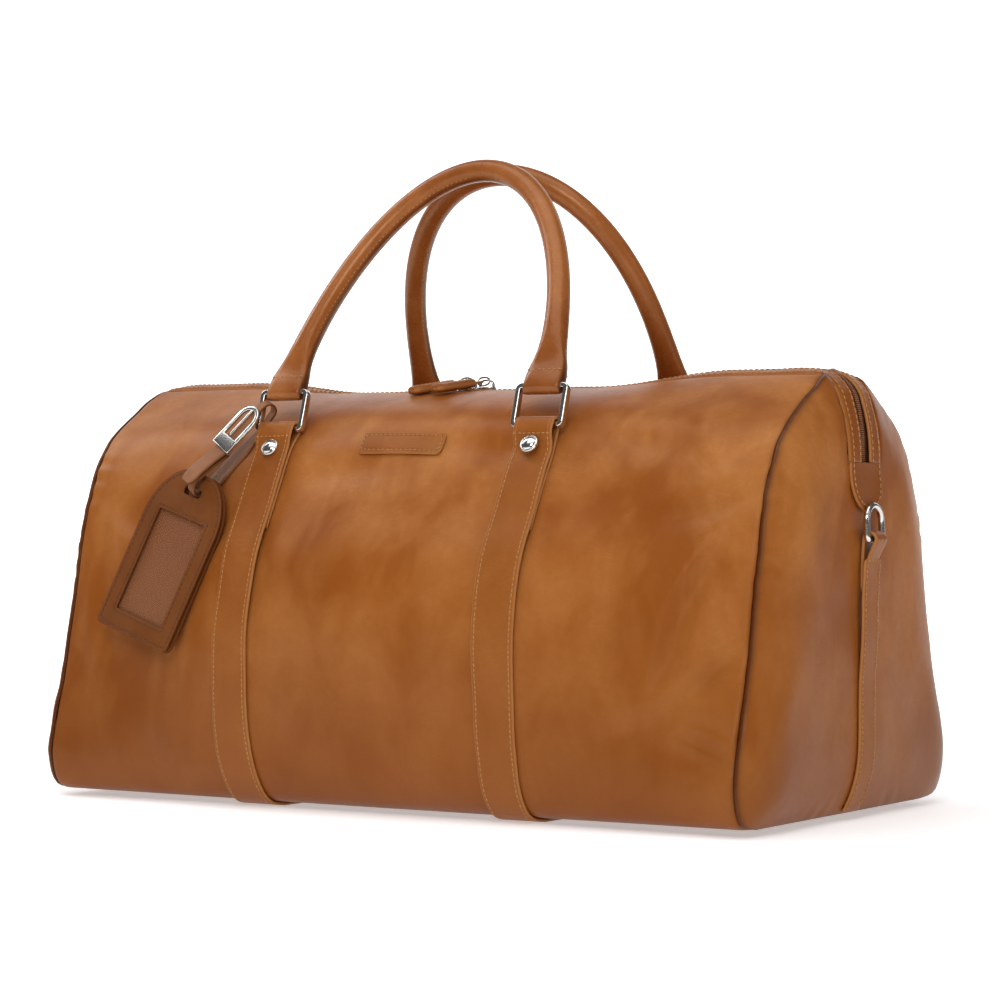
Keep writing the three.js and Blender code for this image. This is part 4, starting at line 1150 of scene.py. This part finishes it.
def makeRings():
    for face, side in (("front", -1), ("back", 1)):
        lean = math.radians(leans[face][0])
        up = np.array([0, -side * math.sin(lean), math.cos(lean)])
        out = np.cross((1, 0, 0), up)
        for name in ("left", "right"):
            body = f"ring_{face}_{name}"
            m = frameOf(spot(body + "_swing"), np.array([1.0, 0, 0]), up, out)
            loop = [(x, y, 0) for x, y in rounded(38 - 3.4, 29 - 3.4, 2.2)]
            loop = np.array(loop + loop[:1])
            even = []
            for a, b in zip(loop[:-1], loop[1:]):
                count = max(int(np.linalg.norm(b - a) / 1.6), 1)
                even += [a + (b - a) * k / count for k in range(count)]
            made = wire(f"ring_wire_{face}_{name}", placed(m, even), out, 1.8, 2.45, "nickel", body,
                        True, 5.0, 28)
            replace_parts(made, body)


def archPath(fullness, low, high, count):
    a = np.linspace(low, high, count)
    h = np.sin(a)
    x = handleSize["span"] * np.sign(np.cos(a)) * np.sqrt(1 - np.minimum(h, 1) ** fullness)
    return np.stack([x, handleSize["reach"] * h, 0 * x], 1)


# Half width across the arch, half thickness and squareness, by the height above the ring bar.
handleSections = [(-5.4, 13.4, 0.9, 5.0), (-5.1, 13.5, 2.0, 5.0), (-4.2, 13.5, 3.4, 5.0),
                  (-2.5, 13.5, 4.8, 5.0),
                  (0, 13.5, 5.3, 5.0), (4, 13.45, 5.25, 5.0), (8, 13.3, 4.9, 5.0), (12, 12.9, 4.4, 5.0),
                  (16, 12.1, 4.15, 4.6), (20, 11.0, 4.5, 3.8), (26, 9.7, 5.6, 2.9), (34, 8.8, 6.8, 2.3),
                  (46, 8.1, 7.5, 2.05), (64, 7.6, 7.55, 2.0), (90, 7.5, 7.5, 2.0), (400, 7.5, 7.5, 2.0)]


def makeHandle(face, side):
    size = handleSize
    lean = math.radians(leans[face][1])
    up = np.array([0, -side * math.sin(lean), math.cos(lean)])
    out = np.cross((1, 0, 0), up)
    origin = spot(f"handle_{face}_swing")
    m = frameOf(np.array([0, origin[1], origin[2]]), np.array([1.0, 0, 0]), up, out)
    arch = archPath(size[f"{face}Full"], 0.0, math.pi, 900)
    arch[0, 1] = arch[-1, 1] = 0
    arch = evenLine(arch[::6], 1.6)
    foot = np.array([-5.4, -5.1, -4.6, -3.6, -2.4, -1.2])
    right = np.stack([np.full(6, size["span"]), foot, 0 * foot], 1)
    left = right[::-1] * np.array([-1, 1, 1])
    path = np.concatenate([right, arch[1:-1], left])
    run = np.concatenate([[0], np.cumsum(np.linalg.norm(np.diff(path, axis=0), axis=1))])
    above = np.minimum(run, run[-1] - run) - 5.4
    table = np.array(handleSections)
    half, high, power = (np.interp(above, table[:, 0], table[:, k]) for k in (1, 2, 3))

    flat = np.clip(1 - above / 26, 0, 1)[:, None]
    a = np.linspace(0, 2 * math.pi, 28, endpoint=False)
    sideways = np.abs(np.cos(a))[None, :] ** 8
    # Painted shade along the handle's inner underside, over its stitched seam, fading in over the first 30
    # mm above the foot.
    paintedShade = np.exp(-((a - math.pi) / 0.22) ** 2)[None, :] * np.clip(above / 30, 0, 1)[:, None]
    marks = dict(edge=(flat * sideways).ravel(), shade=(paintedShade * 0.8).ravel())
    world = placed(m, path)
    made = wire(f"handle_leather_{face}", world, out, half, high, "handle", f"handle_{face}",
                power=power, sides=28, marks=marks)
    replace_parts(made, f"handle_{face}")
    inward = unit(np.cross(unit(np.gradient(path, axis=0)), (0, 0, 1)))
    inward = inward * np.sign(np.sum(inward * (np.array([0, 60, 0]) - path), -1, keepdims=True))
    keep = (above > 24) & (above < 205)
    rows = []
    for half1 in (run < run[-1] / 2, run > run[-1] / 2):
        k = keep & half1
        at = path[k] + inward[k] * (half[k] * 0.9)[:, None] + np.array([0, 0, 2.6])
        rows.append((placed(m, at), inward[k] @ m[:3, :3].T))
    for x in (-size["span"], size["span"]):
        for flip in (-1, 1):
            w = np.linspace(-11.4, 11.4, 14)
            at = np.stack([x + w, 0 * w + 9.5, 0 * w + flip * 4.75], 1)
            rows.append((placed(m, at), np.tile(out * flip, (14, 1))))
    beadRows(f"handle_stitches_{face}", rows, "fine", "thread", f"handle_{face}")


makeRings()
makeHandle("front", -1)
makeHandle("back", 1)
print("rings and handles ready")


# end straps and their rings

endSize = dict(strap=21.0, loop=15.0, lean=-2.5, wire=2.0, ring=25.0, stitch=2.2, corner=1.6)


def makeEnds():
    first, second, _ = strapMaths()
    turn, thick = strapSize["loop"], strapSize["thick"]
    for side, name in ((-1, "left"), (1, "right")):
        bar = spot(f"d_ring_{name}_swing")

        def line(share):
            wide, narrow = share * endSize["strap"] / 2, share * endSize["loop"] / 2

            def onPanel(y, z, height):
                return side * (float(endX(y, z, side)) + height), y, z
            points = [onPanel(narrow, 142, first), onPanel(narrow, 162, first + 0.1)]
            for a in np.linspace(-1.571, 1.571, 9):
                points.append((bar[0] + side * turn * math.sin(a), narrow, bar[2] + turn * math.cos(a)))
            points += [onPanel(narrow, 165.5, second + 2.9), onPanel(narrow, 162, second + 1.5),
                       onPanel(wide, 160.6, second + 1.2), onPanel(wide, 150, second + 0.4),
                       onPanel(wide, 140, second + 0.2), onPanel(wide, 134, second + 0.1)]
            loopPart = spline(np.array(points), np.linspace(0, len(points) - 1, 84))
            z = np.concatenate([np.linspace(131, 20, 70), np.linspace(18, 5.6, 12)])
            ply = (second - first) * easeStep(80, 134, z)
            rest = np.array([onPanel(wide, k, first + 0.2 + more) for k, more in zip(z, ply)])
            drop = turnedIn(np.maximum(z - 2.8, 0), 4.5)
            rest[:, 0] -= side * drop * 0.8
            return np.concatenate([loopPart, rest])
        w, fade = across(endSize["strap"])
        p = np.stack([line(k / (endSize["strap"] / 2)) for k in w], 1)
        if side > 0:
            p = p[:, ::-1]
        fades = np.tile(fade, (len(p), 1))
        fades[0], fades[-1] = 0.15, 0.15
        mark = np.tile(edgeMark(w, endSize["strap"]), (len(p), 1))
        made = sheet(f"end_strap_leather_{name}", p, thick, fades, "strap", "bag",
                     dict(edge=mark, shade=mark * 0))
        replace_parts(made, f"end_strap_{name}")
        n = gridNormals(p)
        sign = np.sign(np.median(n[110:150, 5, 0]) * side)
        up = (thick / 2 + 0.12) * sign
        at = endSize["strap"] / 2 - endSize["stitch"]
        rows = [rowOn(p, w, k, up, 66, len(p) - 6) for k in (-at, at)]
        rows += [crossRow(p, w, 66, endSize["stitch"], up), crossRow(p, w, 52, 2.6, up)]
        rows = [(a, b * sign) for a, b in rows]
        beadRows(f"end_strap_stitches_{name}", rows, "fine", "thread", "bag")
        half, rise = endSize["ring"] / 2 - endSize["wire"], endSize["ring"] - 2 * endSize["wire"]
        corner, sweep = endSize["corner"], np.linspace(0.2, 1.5, 5)
        loop = [(half * math.cos(a), rise - half + half * math.sin(a)) for a in np.linspace(0, math.pi, 24)]
        loop += [(-half, rise - half - k) for k in np.linspace(1.5, rise - half - corner, 6)]
        bottom = [(half - corner * (1 - math.cos(a)), corner * (1 - math.sin(a))) for a in sweep]
        loop += [(-x, y) for x, y in bottom]
        loop += [(k, 0) for k in np.linspace(-half + 2.2, half - 2.2, 12)] + bottom[::-1]
        loop += [(half, k) for k in np.linspace(1.8, rise - half - 1.5, 6)]
        tilt = side * math.radians(endSize["lean"])
        up3 = np.array([math.sin(tilt), 0, math.cos(tilt)])
        m = frameOf(bar, np.array([0, 1.0, 0]), up3, np.cross((0, 1, 0), up3))
        path = placed(m, [(a, b, 0) for a, b in loop])
        ring = wire(f"d_ring_wire_{name}", path, m[:3, 2], endSize["wire"], endSize["wire"], "nickel",
                    f"d_ring_{name}", True)
        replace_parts(ring, f"d_ring_{name}")


makeEnds()
print("ends ready")

# zip sliders, their wire links and the leather pulls

pullSize = dict(reach=9.0, length=42.0, half=6.0, thick=4.2,
                left=(-0.3, -0.94, -0.15), right=(-0.19, -0.97, -0.13))


def pullOutline(start, inset=0.0):
    end, half = pullSize["reach"] + pullSize["length"] - inset, pullSize["half"] - inset
    points = [(start, -3.0 + inset), (start + 4, -3.7 + inset), (start + 12, -4.8 + inset)]
    taper = start + 12
    points += [(taper + (end - half - taper) * k / 6, -4.8 + inset - 1.2 * k / 6) for k in range(1, 6)]
    points += [(end - half + half * math.cos(a), half * math.sin(a)) for a in np.linspace(-1.57, 1.57, 17)]
    points += [(x, -y) for x, y in reversed(points[:8])]
    return points


def makePulls():
    for name in ("left", "right"):
        low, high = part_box(f"slider_{name}")
        base = np.array(((low.x + high.x) / 2, 0, low.z)) / mm
        m = frameOf(base, np.array([1.0, 0, 0]), np.array([0, 1.0, 0]), np.array([0, 0, 1.0]))
        boat = [(6.3 * math.cos(a), 4.7 * math.copysign(abs(math.sin(a)) ** 0.6, math.sin(a)))
                for a in np.linspace(0, 2 * math.pi, 48, endpoint=False)]
        plate = cutOut(f"slider_plate_{name}", [boat], 1.7, 0.5, m, "nickel", f"slider_{name}", "nickel")
        bridge = [(-5.3, 0, 1.2), (-5.1, 0, 3.4), (-4.2, 0, 5.3), (-2.4, 0, 6.1), (0, 0, 6.25),
                  (2.4, 0, 6.1), (4.2, 0, 5.3), (5.1, 0, 3.4), (5.3, 0, 1.2)]
        wire(f"slider_bridge_{name}", placed(m, evenLine(bridge, 0.5)), (0, 1.0, 0), 0.62, 1.35, "nickel",
             f"slider_{name}", power=3.0, sides=16)
        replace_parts(plate, f"slider_{name}")
        aim = unit(np.array(pullSize[name]))
        side = unit(np.cross((0, 0, 1), aim))
        out = np.cross(aim, side)
        m = frameOf(spot(f"pull_link_{name}_lift"), aim, side, out)
        a = np.linspace(0, 2 * math.pi, 48, endpoint=False)
        link = np.stack([5.9 * np.cos(a) + pullSize["reach"] - 5.9, 0 * a, 2.7 * np.sin(a)], 1)
        made = wire(f"pull_link_wire_{name}", placed(m, link), side, 0.65, 0.65, "nickel",
                    f"pull_link_{name}", True, sides=12)
        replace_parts(made, f"pull_link_{name}")
        turn = np.linspace(0, 2 * math.pi, 20)[:-1]
        hole = [(pullSize["reach"] + 1.6 * math.cos(t), 1.6 * math.sin(t)) for t in turn]
        start = pullSize["reach"] - 2.9
        tongue = cutOut(f"zip_pull_tongue_{name}", [pullOutline(start, 0.35), hole], 1.5, 0.4, m, "strap",
                        f"zip_pull_{name}", "strap_leather", -0.75, rimMark(1.5))
        length = pullSize["length"] - 4.6
        t = np.linspace(0, 1, 46)
        x = pullSize["reach"] + 4 + length * t
        wide = np.interp(x, [13, 18, 45, 51], [4.0, 4.6, 5.9, 5.9])
        endRound = np.sqrt(np.clip(1 - (np.maximum(x - 45.5, 0) / 5.6) ** 2, 0.02, 1))
        startRound = np.sqrt(np.clip(1 - (np.maximum(16 - x, 0) / 3.2) ** 2, 0.03, 1))
        wide = wide * endRound * startRound
        high = 3.0 * np.minimum(endRound, startRound) ** 0.7
        path = np.stack([x, 0 * x, 0 * x], 1)
        spokes = np.linspace(0, 2 * math.pi, 26, endpoint=False)
        rim = np.tile(np.abs(np.cos(spokes)) ** 14, len(t))
        body = wire(f"zip_pull_leather_{name}", placed(m, path), out, wide, high, "strap",
                    f"zip_pull_{name}",
                    power=2.9, sides=26, marks=dict(edge=rim, shade=0 * rim))
        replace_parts(tongue, f"zip_pull_{name}")
        rows = []
        for off in (-2.4, 2.4):
            line = np.stack([np.linspace(17, 46, 30), np.full(30, off), np.full(30, 2.82)], 1)
            rows.append((placed(m, line), np.tile(out, (30, 1))))
        beadRows(f"zip_pull_stitches_{name}", rows, "fine", "thread", f"zip_pull_{name}")


makePulls()


# luggage tag: two plies with a clear window, a plain card, and its strap and buckle

tagSize = dict(width=76.0, height=118.0, turn=18.0, slotUp=105.0, slotHalf=8.6, ply=1.4, windowWidth=48.0,
               windowHeight=73.0, windowLow=14.0, stitch=2.6)


def tagOutline(inset=0.0):
    w, top = tagSize["width"] / 2, tagSize["height"]
    corner, shoulder = 6.0, 92.0

    def bend(a, b, c, d, steps=18):
        t = np.linspace(0, 1, steps)[1:, None]
        a, b, c, d = (np.array(v, float) for v in (a, b, c, d))
        return (a * (1 - t) ** 3 + 3 * b * t * (1 - t) ** 2 + 3 * c * t * t * (1 - t) + d * t ** 3).tolist()
    half = [(w - corner, 0)] + bend((w - corner, 0), (w - 1.5, 0), (w, 1.5), (w, corner), 8)
    half += [(w, k) for k in np.linspace(corner + 4, shoulder - 12, 16)]
    half += [(w, shoulder - 10)] + bend((w, shoulder - 10), (w, shoulder + 8), (w * 0.62, top), (10, top))
    line = half + [(-x, y) for x, y in reversed(half)]
    if inset:
        p = np.array(line)
        along = unit(np.roll(p, -1, 0) - np.roll(p, 1, 0))
        p = p - np.stack([along[:, 1], -along[:, 0]], 1) * inset
        line = p.tolist()
    return [(x, y - tagSize["slotUp"]) for x, y in line]


def makeTag():
    size = tagSize
    slope = unit(np.array([0, 0.3, 0.95]))
    level = unit(np.array([1, -0.13, 0]))
    a = math.radians(size["turn"])
    up = slope * math.cos(a) + level * math.sin(a)
    out = unit(np.cross(level, slope))
    m = frameOf(spot("tag_flip"), np.cross(up, out), up, out)
    slot = [(x, y - 3.0) for x, y in rounded(2 * size["slotHalf"], 6.0, 2.4)]
    w = size["windowWidth"]
    window = [(x, y + size["windowLow"] - size["slotUp"]) for x, y in rounded(w, size["windowHeight"], 1.2)]
    lift = size["ply"] + 0.3
    ply = size["ply"], 0.4, m, "tag", "tag", "tag_leather"
    back = cutOut("tag_back_leather", [tagOutline(), slot], *ply, -lift - 0.9, rimMark(size["ply"]))
    front = cutOut("tag_front_leather", [tagOutline(), slot, window], *ply, 0.9, rimMark(size["ply"]))
    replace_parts(back, "tag_back")
    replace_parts(front, "tag_front")
    middle = size["windowLow"] + size["windowHeight"] / 2 - size["slotUp"]
    for name, thick, low, paint, node, grow in (("tag_window_pane", 0.4, 0.2, "vinyl", "clear_window", 8),
                                                ("tag_card_sheet", 0.5, -0.85, "card", "paper_card", 6)):
        pane = [(x, y + middle - (size["windowHeight"] + grow) / 2)
                for x, y in rounded(w + grow, size["windowHeight"] + grow, 1.5)]
        made = cutOut(name, [pane], thick, 0.1, m, paint, "tag", node, low)
        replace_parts(made, "tag_window" if paint == "vinyl" else "tag_card")
    rows = []
    h = size["windowHeight"]
    border = [(x * (w + 4.6) / w, (y - middle) * (h + 4.6) / h + middle) for x, y in window]
    for line in (tagOutline(size["stitch"]), border):
        p = np.array([(x, y, 0.9 + size["ply"] + 0.1) for x, y in line + line[:1]])
        p = evenLine(p, 1.2)
        rows.append((placed(m, p), np.tile(out, (len(p), 1))))
    beadRows("tag_stitches", rows[:1], "fine", "darkThread", "tag")
    beadRows("tag_window_stitches", rows[1:], "fine", "darkThread", "tag")


def makeTagStrap():
    along = unit(np.array([0.535, 0.425, 0.74]))
    out = np.array([-0.1, -0.85, 0.52])
    out = unit(out - along * np.dot(out, along))
    beside = np.cross(out, along)
    m = frameOf(spot("tag_flip"), along, beside, out)
    wide, slim = 7.0, 3.3
    line = [[1, 12, wide - 2.5], [4, 11.95, wide - 0.4], [13, 11.6, wide], [24, 10, wide], [34, 8, wide],
            [52, 7.2, wide], [60, 7.3, slim + 1], [71, 8.2, slim]]
    for b in math.pi * (0.5 - np.arange(1, 6) / 6):
        line.append([71.6 + 5.5 * math.cos(b), 2.7 + 5.5 * math.sin(b), slim])
    line += [[71, -2.8, slim], [60, -4.8, slim], [52, -5.6, slim + 1], [40, -5.8, wide], [10, -6, wide],
             [1, -5, slim + 1], [-0.8, -2, slim + 1], [-0.8, 1.6, slim + 1], [1, 5, slim + 1],
             [5, 7.4, slim + 1], [12, 9, wide], [21, 7.8, wide], [33, 5, wide]]
    line = spline(np.array(line, float), np.linspace(0, len(line) - 1, 240))
    line[:, 2] = np.clip(line[:, 2], slim, wide)
    w, fade = across(2.0, 0.16)
    p = np.stack([placed(m, np.stack([line[:, 0], line[:, 2] * k, line[:, 1]], 1)) for k in w], 1)
    fades = np.tile(np.maximum(fade, 0.2), (len(line), 1))
    fades[0], fades[-1] = 0.2, 0.2
    mark = np.tile(edgeMark(w, 2.0, 0.18), (len(line), 1)) * 0.9
    made = sheet("tag_strap_leather", p, 1.6, fades, "tagStrap", "tag_strap",
                 dict(edge=mark, shade=mark * 0))
    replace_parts(made, "tag_strap")

    def bow(half, end, shoulder, count):
        arc = [(58 + half * math.cos(b), half * math.sin(b)) for b in np.linspace(-1.571, 1.571, count)]
        return [(end, -half), (shoulder, -half)] + arc + [(shoulder, half), (end, half)]
    outer, inner = bow(10.4, 33, 45, 30), bow(7.5, 36, 47, 26)
    frame1 = cutOut("tag_buckle_frame", [outer, inner], 2.4, 0.8, m, "nickel", "tag_strap", "nickel", 8.9)
    plate = [(x + 38, y - 10.4) for x, y in rounded(9.0, 20.8, 0.8)]
    cutOut("tag_buckle_plate", [plate], 1.6, 0.45, m, "nickel", "tag_strap", "nickel", 9.7)
    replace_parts(frame1, "tag_buckle")
    prong = [(43.6, 0, 11.4), (47, 0, 11.6), (54, 0, 11.5), (61, 0, 11.5), (65.6, 0, 11.5)]
    pin = wire("buckle_prong_wire", placed(m, evenLine(prong, 0.6)), out, 0.9, 0.55, "nickel",
               "buckle_prong", power=2.6, sides=14)
    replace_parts(pin, "buckle_prong")


makeTag()
makeTagStrap()
print("tag ready")
